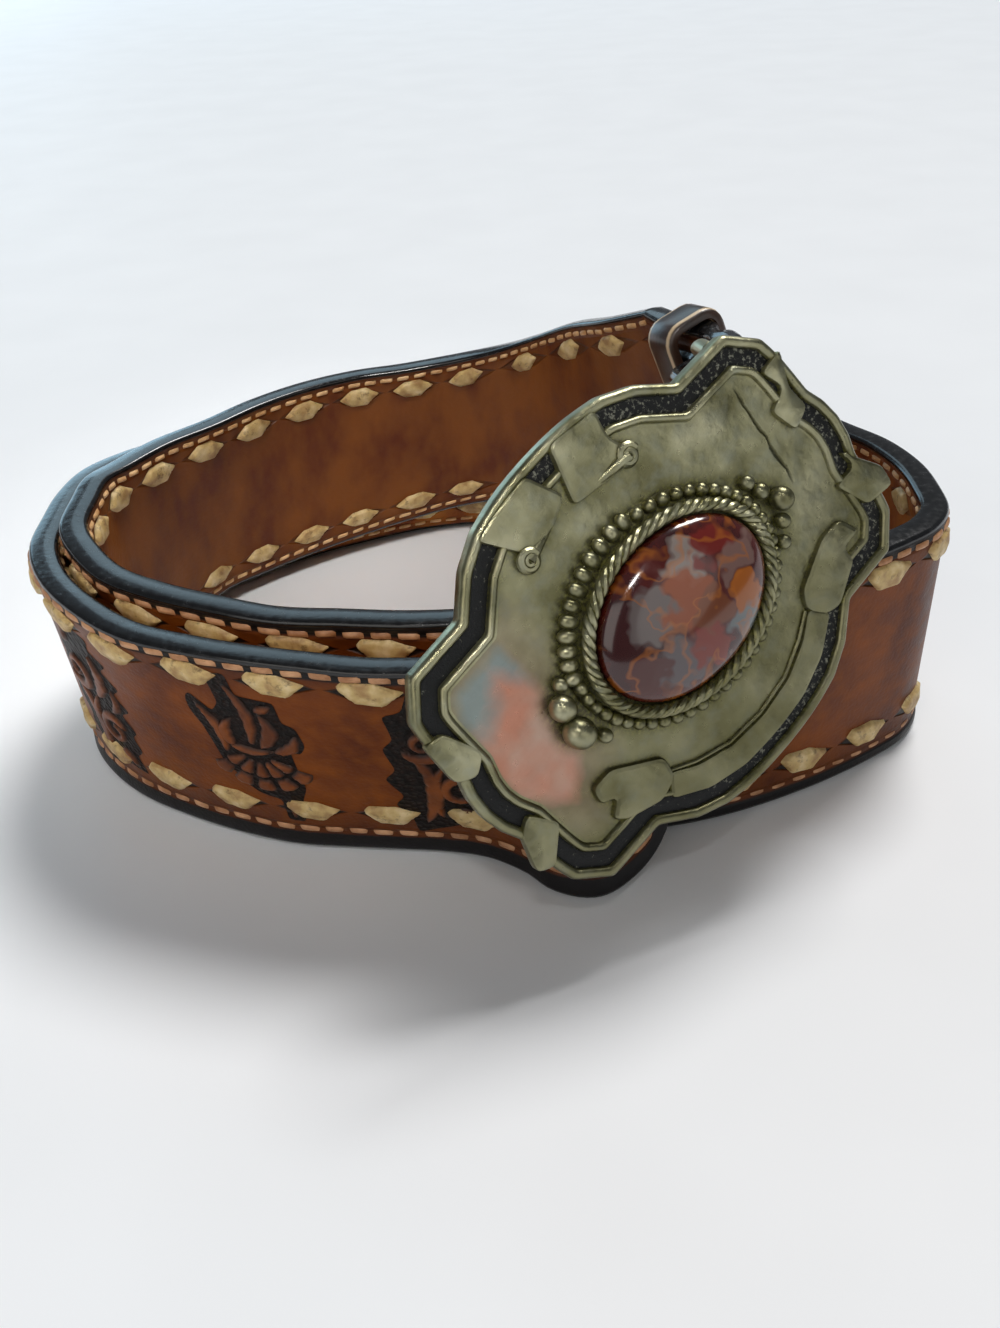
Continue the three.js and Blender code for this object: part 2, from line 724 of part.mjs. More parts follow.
function settingSolids() {
  const seatLength = STONE_HALF_LENGTH + BEAD_OFFSET;
  const seatHeight = STONE_HALF_HEIGHT + BEAD_OFFSET;
  const seatOutline = ellipse(seatLength, seatHeight, OVAL_SIDES);
  const seat = plateSolid(seatOutline, fieldTop - OVERLAP, SEAT_RAISE, 2 * SEAT_RAISE);
  const wallOutline = ellipse(
    STONE_HALF_LENGTH + RUNNING_GAP + BEZEL_WALL,
    STONE_HALF_HEIGHT + RUNNING_GAP + BEZEL_WALL,
    OVAL_SIDES,
  );
  const wall = bandSolid(wallOutline, 0, BEZEL_WALL, 0, BEZEL_HEIGHT, RIM_ROUNDING / 2);
  const clusters = [...LEFT_CLUSTER, ...RIGHT_CLUSTER].map(([u, v, size]) => {
    const radius = size * BEAD_RADIUS;
    const rise = fieldTop + radius * CLUSTER_RISE;
    return ball(u * STONE_HALF_LENGTH, v * STONE_HALF_HEIGHT, rise, radius);
  });
  return [seat, wall, ropeRing(), ...settingBeads(), ...clusters].map((piece) =>
    piece.translate(SETTING_OFFSET.u, SETTING_OFFSET.v, 0),
  );
}

// The bail: a wire loop from the plate's back to the bar that the strap folds round
function backSolids() {
  const footU = BAIL_FOOT_SHARE * PLATE_HALF_LENGTH;
  const barU = BAIL_BAR_SHARE * PLATE_HALF_LENGTH;
  const half = FOLD_WIDTH / 2 + RUNNING_GAP + BAIL_WIRE / 2;
  const radius = BAIL_WIRE / 2;
  const foot = (sign) => new THREE.Vector3(footU, sign * half, -PLATE_THICKNESS + 0.6);
  const bar = (sign) => new THREE.Vector3(barU, sign * half, -BAIL_DROP);
  const hookU = -0.77 * PLATE_HALF_LENGTH;
  const hookRoot = new THREE.Vector3(hookU, 0, -PLATE_THICKNESS + 0.5);
  const hookEnd = new THREE.Vector3(hookU, 0, -PLATE_THICKNESS - HOOK_LENGTH);
  return [
    rod(foot(1), bar(1), radius),
    rod(foot(-1), bar(-1), radius),
    rod(bar(1), bar(-1), radius),
    ball(barU, half, -BAIL_DROP, radius * 1.04),
    ball(barU, -half, -BAIL_DROP, radius * 1.04),
    rod(hookRoot, hookEnd, HOOK_RADIUS),
    ball(hookEnd.x, hookEnd.y, hookEnd.z, HOOK_RADIUS * 1.2),
  ];
}

function enamelGeometry() {
  const outline = plateOutline();
  const clearance = 0.3;
  return bandSolid(
    outline,
    RIM_WIDTH + clearance,
    RIM_WIDTH + CHANNEL_WIDTH - clearance,
    channelFloor + clearance,
    -RIBBON_SINK - clearance,
    OVERLAP,
  );
}

function stoneGeometry() {
  const bottom = SEAT_RAISE + RUNNING_GAP;
  const rows = [
    [0.99, bottom],
    [1, bottom + STONE_GIRDLE],
  ];
  for (const angle of [18, 36, 54, 70, 82]) {
    const turn = THREE.MathUtils.degToRad(angle);
    rows.push([Math.cos(turn), bottom + STONE_GIRDLE + STONE_DOME * Math.sin(turn)]);
  }
  const outline = ellipse(STONE_HALF_LENGTH, STONE_HALF_HEIGHT, OVAL_SIDES);
  const loops = rows.map(([share, height]) =>
    atHeight(outline.map((point) => point.clone().multiplyScalar(share)), height),
  );
  return cappedSkin(loops, outline).translate(SETTING_OFFSET.u, SETTING_OFFSET.v, 0);
}

function placeOnPlate(mesh) {
  const turn = new THREE.Matrix4().makeBasis(plateAcross, plateUp, plateFacing);
  mesh.quaternion.setFromRotationMatrix(turn);
  mesh.position.copy(plateCentre);
  return mesh;
}

function named(name, geometry, color, roughness, metalness) {
  const material = new THREE.MeshStandardMaterial({ color, roughness, metalness });
  const mesh = new THREE.Mesh(geometry, material);
  mesh.name = name;
  return mesh;
}

const buckleParts = [...plateFrame(), ...plateRibbons(), ...settingSolids(), ...backSolids()];
const belt = new THREE.Group();
belt.add(named("belt_strap", strapGeometry(), LEATHER_BROWN, 0.55, 0));
belt.add(named("keeper_loop", keeperGeometry(), LEATHER_BROWN, 0.6, 0));
belt.add(placeOnPlate(named("buckle_plate", joined(buckleParts), SILVER_GREEN, 0.35, 0.9)));
belt.add(placeOnPlate(named("channel_enamel", enamelGeometry(), ENAMEL_BLACK, 0.4, 0)));
belt.add(placeOnPlate(named("centre_stone", stoneGeometry(), STONE_RED, 0.15, 0)));

// The origin is under the middle of the whole belt, on the surface it stands on
belt.updateMatrixWorld(true);
const outer = new THREE.Box3().setFromObject(belt, true);
belt.position.set(-(outer.min.x + outer.max.x) / 2, -(outer.min.y + outer.max.y) / 2, 0);

export default belt;
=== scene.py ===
# Western tooled belt: the looks of the coiled strap, its laced edges and its stone-set buckle.
import math
import random

import bpy
import numpy as np
from mathutils import Matrix, Vector
from mathutils.geometry import delaunay_2d_cdt


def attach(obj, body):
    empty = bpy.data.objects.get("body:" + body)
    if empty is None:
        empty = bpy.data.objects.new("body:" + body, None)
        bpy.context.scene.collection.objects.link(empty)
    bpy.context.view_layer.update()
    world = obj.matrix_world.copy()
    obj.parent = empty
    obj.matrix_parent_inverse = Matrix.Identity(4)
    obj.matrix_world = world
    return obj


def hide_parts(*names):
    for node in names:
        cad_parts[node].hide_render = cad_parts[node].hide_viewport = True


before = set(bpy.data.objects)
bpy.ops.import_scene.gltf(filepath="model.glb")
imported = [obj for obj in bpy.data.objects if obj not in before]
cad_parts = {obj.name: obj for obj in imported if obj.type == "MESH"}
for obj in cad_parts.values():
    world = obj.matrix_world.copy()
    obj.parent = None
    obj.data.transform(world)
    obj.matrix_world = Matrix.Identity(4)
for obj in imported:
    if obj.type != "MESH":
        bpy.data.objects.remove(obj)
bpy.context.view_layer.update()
rng = random.Random(7)

MM = 0.001
# The source's own origin, seen from the middle of the belt's box, in millimetres
ORIGIN_SHIFT = np.array([0.852, 8.469, 0.0])

# Strap sizes, in millimetres
STRAP_WIDTH = 41.0
STRAP_THICKNESS = 4.4
COIL_HALF_WIDTH = 70.0
COIL_HALF_DEPTH = 60.0
TIP_ROUNDING = 12.0
TIP_END_SHARE = 0.45
FOLD_THICKNESS = 2.2
FOLD_WIDTH = 32.0
RUNNING_GAP = 0.4
EDGE_ROUNDING = 0.8
EDGE_CROWN = 0.15
PAINT_SWELL = 0.7
CORNER_STEPS = 5
FACE_STEPS = 20
LINING_STEPS = 13
STATION_STEP = 0.9

KEEPER_LENGTH = 7.0
KEEPER_THICKNESS = 1.5
KEEPER_WIDTH_SHARE = 0.35

ROWS_PAST_COIL = 2.0
THREAD_LINE = 3.0
THREAD_START = 4.5
THREAD_PITCH = 3.9
LINING_THREAD_PITCH = 3.5
LACE_PITCH = 12.5
LACE_FIRST = 4.1
LINING_LACE_PITCH = 11.9
LINING_LACE_FIRST = 6.0
RISE_START = 590.0
RISE_LACE_PITCH = 17.4
BORDER_WIDTH = 2.2
SLIT_TAPER_START = 2.4
SLIT_TAPER = 0.4
SLIT_HALF_WIDTH = 1.0
SLIT_BLUR = 0.4

PLATE_HALF_LENGTH = 36.3
PLATE_HALF_HEIGHT = 27.8
PLATE_THICKNESS = 2.6
BAIL_DROP = 10.6
BAIL_BAR_SHARE = 0.875
FOLD_RADIUS = 4.2


def vec(*numbers):
    return np.array(numbers, float)


def unit(vector):
    return vector / np.linalg.norm(vector, axis=-1, keepdims=True)


# Camera at the photograph's angle
def make_camera():
    data = bpy.data.cameras.new("photo_camera")
    data.sensor_fit = "HORIZONTAL"
    data.sensor_width = 36.0
    data.lens = 43.2
    data.clip_start = 0.01
    data.clip_end = 20.0
    camera = bpy.data.objects.new("photo_camera", data)
    bpy.context.scene.collection.objects.link(camera)
    right = Vector((0.9986, -0.0293, -0.0434)).normalized()
    forward = Vector((0.0, 0.829, -0.5592)).normalized()
    up = right.cross(forward).normalized()
    turn = Matrix((right, up, -forward)).transposed()
    place = (vec(0.0, -190.0, 127.04) + ORIGIN_SHIFT) * MM
    camera.matrix_world = Matrix.Translation(Vector(place)) @ turn.to_4x4()
    bpy.context.scene.camera = camera


make_camera()

# The plate's own directions
plate_across = unit(vec(0.6965, 0.5221, 0.4923))
plate_facing = vec(0.3601, -0.8477, 0.3895)
plate_facing = unit(plate_facing - plate_across * plate_facing.dot(plate_across))
plate_up = np.cross(plate_facing, plate_across)
plate_centre = (
    vec(0.294 * COIL_HALF_WIDTH, -0.881 * COIL_HALF_DEPTH, 1.037 * STRAP_WIDTH)
    + plate_facing * 1.1 * STRAP_THICKNESS
)


def on_plate(points):
    points = np.asarray(points, float)
    return (
        plate_centre
        + points[..., 0:1] * plate_across
        + points[..., 1:2] * plate_up
        + points[..., 2:3] * plate_facing
    )


# The strap's route from its tip, as in the source of the solids.
# Columns: x and y of the lower edge as shares of the coil's half width and half depth,
# lean of the upper edge in x and y and lift of the lower edge as shares of the strap's width.
STRAP_ROUTE = [
    (0.321, -0.937, 0.01, 0.08, 0),
    (0.243, -0.993, 0.01, 0.11, 0),
    (0.164, -1.03, 0.01, 0.12, 0),
    (0.1, -1.003, 0.01, 0.04, 0),
    (0.05, -0.937, 0, -0.09, 0),
    (-0.029, -0.873, -0.01, -0.18, 0),
    (-0.129, -0.837, -0.02, -0.23, 0),
    (-0.243, -0.817, -0.02, -0.24, 0),
    (-0.357, -0.798, -0.03, -0.22, 0),
    (-0.457, -0.778, -0.04, -0.2, 0),
    (-0.571, -0.73, -0.06, -0.19, 0),
    (-0.696, -0.658, -0.08, -0.18, 0),
    (-0.821, -0.567, -0.08, -0.12, 0),
    (-0.917, -0.457, -0.07, -0.07, 0),
    (-0.98, -0.34, -0.05, -0.02, 0),
    (-1.013, -0.2, -0.01, 0, 0),
    (-1.019, -0.05, 0, 0, 0),
    (-1.004, 0.12, 0.02, -0.04, 0),
    (-0.966, 0.307, 0.08, -0.13, 0),
    (-0.874, 0.493, 0.13, -0.2, 0),
    (-0.743, 0.637, 0.11, -0.18, 0),
    (-0.579, 0.772, 0.1, -0.19, 0),
    (-0.407, 0.867, 0.09, -0.23, 0),
    (-0.229, 0.942, 0.06, -0.28, 0),
    (-0.036, 0.967, 0.03, -0.3, 0),
    (0.164, 0.95, 0, -0.3, 0),
    (0.364, 0.87, -0.04, -0.26, 0),
    (0.55, 0.725, -0.05, -0.2, 0),
    (0.711, 0.542, -0.05, -0.14, 0),
    (0.837, 0.347, -0.04, -0.09, 0),
    (0.911, 0.15, -0.03, -0.04, 0),
    (0.969, 0.01, -0.02, -0.02, 0),
    (0.997, -0.15, -0.01, -0.01, 0),
    (0.997, -0.297, -0.01, 0, 0),
    (0.977, -0.403, 0, -0.01, 0),
    (0.929, -0.487, 0, -0.01, 0),
    (0.847, -0.557, 0, -0.01, 0),
    (0.743, -0.627, 0, -0.01, 0),
    (0.646, -0.682, 0, -0.01, 0),
    (0.5, -0.748, 0, -0.01, 0),
    (0.357, -0.787, 0, -0.02, 0),
    (0.229, -0.793, 0, -0.03, 0),
    (0.1, -0.787, -0.01, -0.06, 0),
    (-0.043, -0.77, -0.01, -0.08, 0),
    (-0.171, -0.74, -0.02, -0.11, 0),
    (-0.3, -0.717, -0.02, -0.11, 0),
    (-0.429, -0.69, -0.03, -0.11, 0),
    (-0.55, -0.64, -0.05, -0.1, 0.01),
    (-0.657, -0.577, -0.07, -0.1, 0.02),
    (-0.763, -0.493, -0.08, -0.1, 0.03),
    (-0.849, -0.398, -0.07, -0.07, 0.04),
    (-0.903, -0.287, -0.07, -0.05, 0.05),
    (-0.931, -0.163, -0.03, -0.02, 0.06),
    (-0.937, -0.027, -0.01, -0.06, 0.07),
    (-0.923, 0.107, 0.03, -0.12, 0.07),
    (-0.883, 0.277, 0.09, -0.16, 0.08),
    (-0.809, 0.437, 0.14, -0.2, 0.09),
    (-0.693, 0.56, 0.12, -0.18, 0.09),
    (-0.564, 0.663, 0.11, -0.18, 0.1),
    (-0.421, 0.75, 0.1, -0.22, 0.12),
    (-0.271, 0.815, 0.08, -0.29, 0.15),
    (-0.123, 0.845, 0.07, -0.325, 0.19),
    (0.029, 0.8, 0.02, -0.33, 0.25),
    (0.177, 0.65, -0.06, -0.25, 0.32),
    (0.329, 0.42, -0.16, -0.15, 0.44),
    (0.486, 0.163, -0.31, -0.05, 0.57),
    (0.58, -0.02, -0.33, -0.02, 0.68),
]

KEEPER_PLACE = (0.444, -0.225, 1.655)
KEEPER_TRAVEL = vec(0.31, -0.9, 0.31)
KEEPER_UP = vec(-0.36, 0, 0.933)


def mixed(low, high, share):
    return low + (high - low) * share


def end_frame(centre, travel, up):
    upward = unit(up)
    along = unit(travel - upward * travel.dot(upward))
    return centre, along, upward, np.cross(upward, along)


width_at_keeper = mixed(STRAP_WIDTH, FOLD_WIDTH, KEEPER_WIDTH_SHARE)
thickness_at_keeper = mixed(STRAP_THICKNESS, FOLD_THICKNESS, KEEPER_WIDTH_SHARE)
keeper_centre = (
    vec(*KEEPER_PLACE) * vec(COIL_HALF_WIDTH, COIL_HALF_DEPTH, STRAP_WIDTH)
    - KEEPER_UP * width_at_keeper / 2
)
keeper_frame = end_frame(keeper_centre, KEEPER_TRAVEL, KEEPER_UP)
bar_centre = on_plate([BAIL_BAR_SHARE * PLATE_HALF_LENGTH, 0, -BAIL_DROP])
fold_frame = end_frame(bar_centre, vec(0.175, -0.95, 0.25), plate_up)
return_side = -(thickness_at_keeper / 2 + RUNNING_GAP + FOLD_THICKNESS / 2)


def end_station(place, travel, side, width, thickness):
    centre, along, up, across = place
    middle = centre + along * travel + across * side
    return middle - up * width / 2, middle + up * width / 2, thickness, 0.0


def coil_stations():
    rows = []
    for x, y, lean_x, lean_y, lift in STRAP_ROUTE:
        bottom = vec(x * COIL_HALF_WIDTH, y * COIL_HALF_DEPTH, lift * STRAP_WIDTH)
        rise = math.sqrt(1 - lean_x * lean_x - lean_y * lean_y)
        top = bottom + vec(lean_x, lean_y, rise) * STRAP_WIDTH
        rows.append((bottom, top, STRAP_THICKNESS, 1.0))
    return rows


def fold_stations():
    def at_fold(travel, side):
        return end_station(
            fold_frame, travel * FOLD_RADIUS, side * FOLD_RADIUS, FOLD_WIDTH, FOLD_THICKNESS
        )

    turn = [math.pi / 2 - math.pi * step / 7 for step in range(8)]
    reach = KEEPER_LENGTH / 2 + 1
    front = [
        end_station(keeper_frame, travel, 0, width_at_keeper, thickness_at_keeper)
        for travel in (-reach, 0, reach)
    ]
    back = [
        end_station(keeper_frame, travel, return_side, FOLD_WIDTH, FOLD_THICKNESS)
        for travel in (reach, 0, -reach - 1)
    ]
    return (
        front
        + [at_fold(-1.5, 1.0), at_fold(-0.7, 1.1)]
        + [at_fold(math.cos(angle), math.sin(angle)) for angle in turn]
        + [at_fold(-0.7, -0.97), at_fold(-1.6, -0.8)]
        + back
    )


def catmull(points, share):
    """A smooth curve through all the points, without loops where they lie close together."""
    spans = len(points) - 1
    place = spans * share
    index = min(int(place), spans - 1)
    weight = place - index
    one, two = points[index], points[index + 1]
    zero = points[index - 1] if index > 0 else 2 * points[0] - points[1]
    three = points[index + 2] if index + 2 <= spans else 2 * points[-1] - points[-2]
    gaps = [np.linalg.norm(b - a) ** 0.5 for a, b in ((zero, one), (one, two), (two, three))]
    gaps[1] = gaps[1] if gaps[1] > 1e-4 else 1.0
    gaps[0] = gaps[0] if gaps[0] > 1e-4 else gaps[1]
    gaps[2] = gaps[2] if gaps[2] > 1e-4 else gaps[1]
    first = (one - zero) / gaps[0] - (two - zero) / (gaps[0] + gaps[1]) + (two - one) / gaps[1]
    second = (two - one) / gaps[1] - (three - one) / (gaps[1] + gaps[2]) + (three - two) / gaps[2]
    first = first * gaps[1]
    second = second * gaps[1]
    square = -3 * one + 3 * two - 2 * first - second
    cube = 2 * one - 2 * two + first + second
    return one + first * weight + square * weight**2 + cube * weight**3


def smooth_stations(rows, step):
    bottoms = [row[0] for row in rows]
    tops = [row[1] for row in rows]
    spans = len(rows) - 1
    stations = []
    for span in range(spans):
        here, after = rows[span], rows[span + 1]
        length = np.linalg.norm((after[0] + after[1] - here[0] - here[1]) / 2)
        steps = max(1, round(length / step))
        for part in range(steps):
            share = (span + part / steps) / spans
            blend = part / steps
            stations.append(
                (
                    catmull(bottoms, share),
                    catmull(tops, share),
                    mixed(here[2], after[2], blend),
                    mixed(here[3], after[3], blend),
                )
            )
    stations.append(rows[-1])
    return stations


def round_tip(stations):
    done = []
    run = 0.0
    for index, (bottom, top, thickness, upright) in enumerate(stations):
        if index:
            run += np.linalg.norm(bottom - stations[index - 1][0])
        if run < TIP_ROUNDING:
            left = 1 - run / TIP_ROUNDING
            share = TIP_END_SHARE + (1 - TIP_END_SHARE) * math.sqrt(1 - left * left)
            middle = (bottom + top) / 2
            bottom = middle + (bottom - middle) * share
            top = middle + (top - middle) * share
        done.append((bottom, top, thickness, upright))
    return done


class Strap:
    """The strap's edges, faces and running length, sampled finely."""

    def __init__(self):
        coil_rows = coil_stations()
        rows = round_tip(smooth_stations(coil_rows, STATION_STEP))
        self.coil_count = len(rows)
        rows += smooth_stations([coil_rows[-1]] + fold_stations(), STATION_STEP)[1:]
        self.bottom = np.array([row[0] for row in rows])
        top = np.array([row[1] for row in rows])
        self.half = np.array([row[2] for row in rows]) / 2
        upright = np.array([row[3] for row in rows])[:, None]
        middle = (self.bottom + top) / 2
        tangent = unit(np.gradient(middle, axis=0))
        self.width = np.linalg.norm(top - self.bottom, axis=1)
        self.up = (top - self.bottom) / self.width[:, None]
        side = unit(np.cross(tangent, self.up))
        level = unit(side * vec(1, 1, 0))
        self.side = unit(side + (level - side) * upright)
        steps = np.linalg.norm(np.diff(middle, axis=0), axis=1)
        self.run = np.concatenate([[0], np.cumsum(steps)])
        self.coil_run = self.run[self.coil_count - 1]
        self.length = self.run[-1]

    def at(self, run, high, out, face):
        """Points at running lengths and heights, out from the outer face (-1) or inner face (1)."""

        def pick(rows):
            return np.stack([np.interp(run, self.run, rows[:, k]) for k in range(3)], -1)

        half = np.interp(run, self.run, self.half)
        side = unit(pick(self.side))
        up = unit(pick(self.up))
        base = pick(self.bottom)
        return base + up * np.asarray(high)[..., None] + side * (face * (half + out))[..., None]

    def width_at(self, run):
        return np.interp(run, self.run, self.width)


strap = Strap()


def smooth_step(value, low, high):
    share = np.clip((np.asarray(value, float) - low) / (high - low), 0, 1)
    return share * share * (3 - 2 * share)


def row_insets(run, face, upper):
    """Distances of the thread row and the lacing row from the strap's edge."""
    if face > 0:
        return np.where(upper, 2.1, 2.4), np.where(upper, 4.9, 5.8)
    front = 1 - smooth_step(run, 120.0, 180.0)
    thread = np.where(upper, mixed(2.2, 1.6, front), mixed(2.9, 4.3, front))
    lace = np.where(upper, mixed(4.9, 4.3, front), mixed(6.4, 9.0, front))
    return thread, lace


def lace_count(run, face):
    """How many lacing stitches come before a running length."""
    run = np.asarray(run, float)
    if face < 0:
        return (run - LACE_FIRST) / LACE_PITCH
    level = (np.minimum(run, RISE_START) - LINING_LACE_FIRST) / LINING_LACE_PITCH
    return level + np.maximum(run - RISE_START, 0) / RISE_LACE_PITCH


# Mesh making
GENTLE_TURN = 10.0
GENTLE_REACH = 4.0
# Distance inside the worn patches for all that lies far outside them
UNWORN = -99.0


def make_object(name, vertices, faces, materials, indices=None, crease=0, uvs=None, placed=False):
    points = np.asarray(vertices, float)
    if not placed:
        points = (points + ORIGIN_SHIFT) * MM
    mesh = bpy.data.meshes.new(name)
    mesh.from_pydata([tuple(point) for point in points], [], [tuple(face) for face in faces])
    for material in materials:
        mesh.materials.append(material)
    if indices is not None:
        mesh.polygons.foreach_set("material_index", np.asarray(indices, np.int32))
    mesh.shade_smooth()
    if uvs is not None:
        loops = np.empty(len(mesh.loops), np.int32)
        mesh.loops.foreach_get("vertex_index", loops)
        for label, values in uvs.items():
            layer = mesh.uv_layers.new(name=label)
            layer.data.foreach_set("uv", np.asarray(values, np.float32)[loops].ravel())
    mesh.update()
    if crease:
        mesh.set_sharp_from_angle(angle=math.radians(crease))
    thing = bpy.data.objects.new(name, mesh)
    bpy.context.scene.collection.objects.link(thing)
    return thing


class Bag:
    """Collects many small meshes into one."""

    def __init__(self):
        self.points = []
        self.faces = []
        self.uvs = []
        self.worn = []
        self.count = 0

    def add(self, points, faces, uv=None, worn=None):
        self.points.append(points)
        self.faces += [tuple(int(k) + self.count for k in face) for face in faces]
        self.uvs.append(np.zeros((len(points), 2)) if uv is None else uv)
        self.worn.append(np.full((len(points), 2), UNWORN) if worn is None else worn)
        self.count += len(points)

    def make(self, name, materials, crease=0):
        maps = {"UVMap": np.concatenate(self.uvs), "worn": np.concatenate(self.worn)}
        points = np.concatenate(self.points)
        return make_object(name, points, self.faces, materials, crease=crease, uvs=maps)


def resampled(outline, step):
    outline = np.asarray(outline, float)
    points = []
    for here, after in zip(outline, np.roll(outline, -1, axis=0)):
        length = np.linalg.norm(after - here)
        pieces = max(1, round(length / step))
        for k in range(pieces):
            points.append(here + (after - here) * k / pieces)
    return np.array(points)


def rounded(outline, reach=1.0, steps=3):
    """Rounds each corner over a short reach, and a gentle bend over half of its two sides."""
    outline = np.asarray(outline, float)
    before = np.roll(outline, 1, axis=0) - outline
    after = np.roll(outline, -1, axis=0) - outline
    points = []
    for corner, back, ahead in zip(outline, before, after):
        long_back, long_ahead = np.linalg.norm(back), np.linalg.norm(ahead)
        gentle = -back.dot(ahead) / (long_back * long_ahead) > math.cos(math.radians(GENTLE_TURN))
        limit = GENTLE_REACH if gentle else reach
        first = corner + back * min(limit / long_back, 0.48)
        last = corner + ahead * min(limit / long_ahead, 0.48)
        for share in np.linspace(0, 1, steps + 1):
            rest = 1 - share
            points.append(rest * rest * first + 2 * rest * share * corner + share * share * last)
    return np.array(points)


def edge_distance(points, outline):
    start = np.asarray(outline, float)
    end = np.roll(start, -1, axis=0)
    along = end - start
    length = (along**2).sum(1)
    away = points[:, None, :] - start[None]
    share = np.clip((away * along[None]).sum(2) / length[None], 0, 1)
    near = start[None] + along[None] * share[..., None]
    return np.sqrt(((points[:, None, :] - near) ** 2).sum(2)).min(1)


def inside(points, outline):
    result = np.zeros(len(points), bool)
    x, y = points[:, 0], points[:, 1]
    for (x0, y0), (x1, y1) in zip(outline, np.roll(outline, -1, axis=0)):
        crosses = (y0 > y) != (y1 > y)
        slope = (x1 - x0) / (y1 - y0) if y1 != y0 else 0.0
        result ^= crosses & (x < x0 + slope * (y - y0))
    return result


def filled(outline, step, skip=0.45):
    """Triangles over a closed outline, with the distance of each point from its border."""
    border = resampled(outline, step)
    low, high = border.min(0), border.max(0)
    xs = np.arange(low[0] + step / 2, high[0], step)
    ys = np.arange(low[1] + step / 2, high[1], step)
    grid = np.stack(np.meshgrid(xs, ys), -1).reshape(-1, 2)
    grid[:, 0] += (np.round((grid[:, 1] - low[1]) / step) % 2) * step * 0.4
    grid = grid[inside(grid, border)]
    if len(grid):
        grid = grid[edge_distance(grid, border) > step * skip]
    points = np.concatenate([border, grid])
    loop = list(range(len(border)))
    result = delaunay_2d_cdt([Vector(p) for p in points], [], [loop], 1, 1e-5)
    points = np.array([tuple(v) for v in result[0]])
    return points, [tuple(face) for face in result[2]], edge_distance(points, border)


def dome(distance, width, height):
    """Height of a rounded shoulder at a distance from its edge."""
    share = np.clip(distance / width, 0, 1)
    return height * np.sqrt(1 - (1 - share) ** 2)


def loft(loops, closed_round=False, cap=True):
    """A skin over loops that all have the same count of points."""
    count = len(loops[0])
    points = np.concatenate(loops)
    faces = []
    spans = len(loops) if closed_round else len(loops) - 1
    for row in range(spans):
        here = row * count
        after = ((row + 1) % len(loops)) * count
        for column in range(count):
            side = (column + 1) % count
            faces.append((here + column, here + side, after + side, after + column))
    if cap and not closed_round:
        faces.append(tuple(reversed(range(count))))
        faces.append(tuple(range(len(points) - count, len(points))))
    return points, faces


def ball(centre, radii, turn=0.0, sides=14, rows=9):
    points = [centre + vec(0, 0, radii[2])]
    for row in range(1, rows):
        polar = math.pi * row / rows
        for side in range(sides):
            angle = 2 * math.pi * side / sides
            x = radii[0] * math.sin(polar) * math.cos(angle)
            y = radii[1] * math.sin(polar) * math.sin(angle)
            points.append(
                centre
                + vec(
                    x * math.cos(turn) - y * math.sin(turn),
                    x * math.sin(turn) + y * math.cos(turn),
                    radii[2] * math.cos(polar),
                )
            )
    points.append(centre - vec(0, 0, radii[2]))
    faces = []
    for side in range(sides):
        after = (side + 1) % sides
        faces.append((0, 1 + side, 1 + after))
        last = len(points) - 1
        base = 1 + (rows - 2) * sides
        faces.append((last, base + after, base + side))
        for row in range(rows - 2):
            here = 1 + row * sides
            below = here + sides
            faces.append((here + side, below + side, below + after, here + after))
    return np.array(points), faces


def tube(path, radius, sides=12, closed=False):
    path = np.asarray(path, float)
    if closed:
        tangent = unit(np.roll(path, -1, axis=0) - np.roll(path, 1, axis=0))
    else:
        tangent = unit(np.gradient(path, axis=0))
    radius = np.broadcast_to(np.asarray(radius, float), (len(path),))
    normal = np.cross(tangent[0], vec(0.3, 0.2, 0.9))
    loops = []
    for place, along, size in zip(path, tangent, radius):
        normal = unit(normal - along * normal.dot(along))
        across = np.cross(along, normal)
        angles = np.arange(sides) * 2 * math.pi / sides
        loops.append(
            place
            + size * (np.cos(angles)[:, None] * normal + np.sin(angles)[:, None] * across)
        )
    return loft(loops, closed)


# Materials
def linear(code):
    """A hex colour as linear light."""
    parts = [int(code[k : k + 2], 16) / 255 for k in (1, 3, 5)]
    return (*[p / 12.92 if p <= 0.04045 else ((p + 0.055) / 1.055) ** 2.4 for p in parts], 1.0)


def add(tree, kind, inputs=(), out=0, stops=(), **settings):
    """Adds a node with its settings and links, and gives one of its outputs.

    Inputs come by name or number, or as a plain row in the node's own order. For MapRange that
    row is the value, the range it comes from and the range it goes to.
    """
    node = tree.nodes.new("ShaderNode" + kind)
    for name, value in settings.items():
        setattr(node, name, value)
    for place, (share, code) in enumerate(stops):
        elements = node.color_ramp.elements
        stop = elements[place] if place < 2 else elements.new(share)
        stop.position, stop.color = share, linear(code)
    for name, value in inputs.items() if isinstance(inputs, dict) else enumerate(inputs):
        socket = node.inputs[name]
        if isinstance(value, bpy.types.NodeSocket):
            tree.links.new(value, socket)
        else:
            socket.default_value = linear(value) if isinstance(value, str) else value
    return node.outputs[out]


def new_material(name):
    material = bpy.data.materials.new(name)
    material.use_nodes = True
    material.node_tree.nodes.clear()
    return material, material.node_tree


def finished(material, **inputs):
    """Closes a material with its shader."""
    tree = material.node_tree
    shader = add(tree, "BsdfPrincipled", {name.replace("_", " "): inputs[name] for name in inputs})
    surface = tree.nodes.new("ShaderNodeOutputMaterial").inputs["Surface"]
    tree.links.new(shader, surface)
    return material


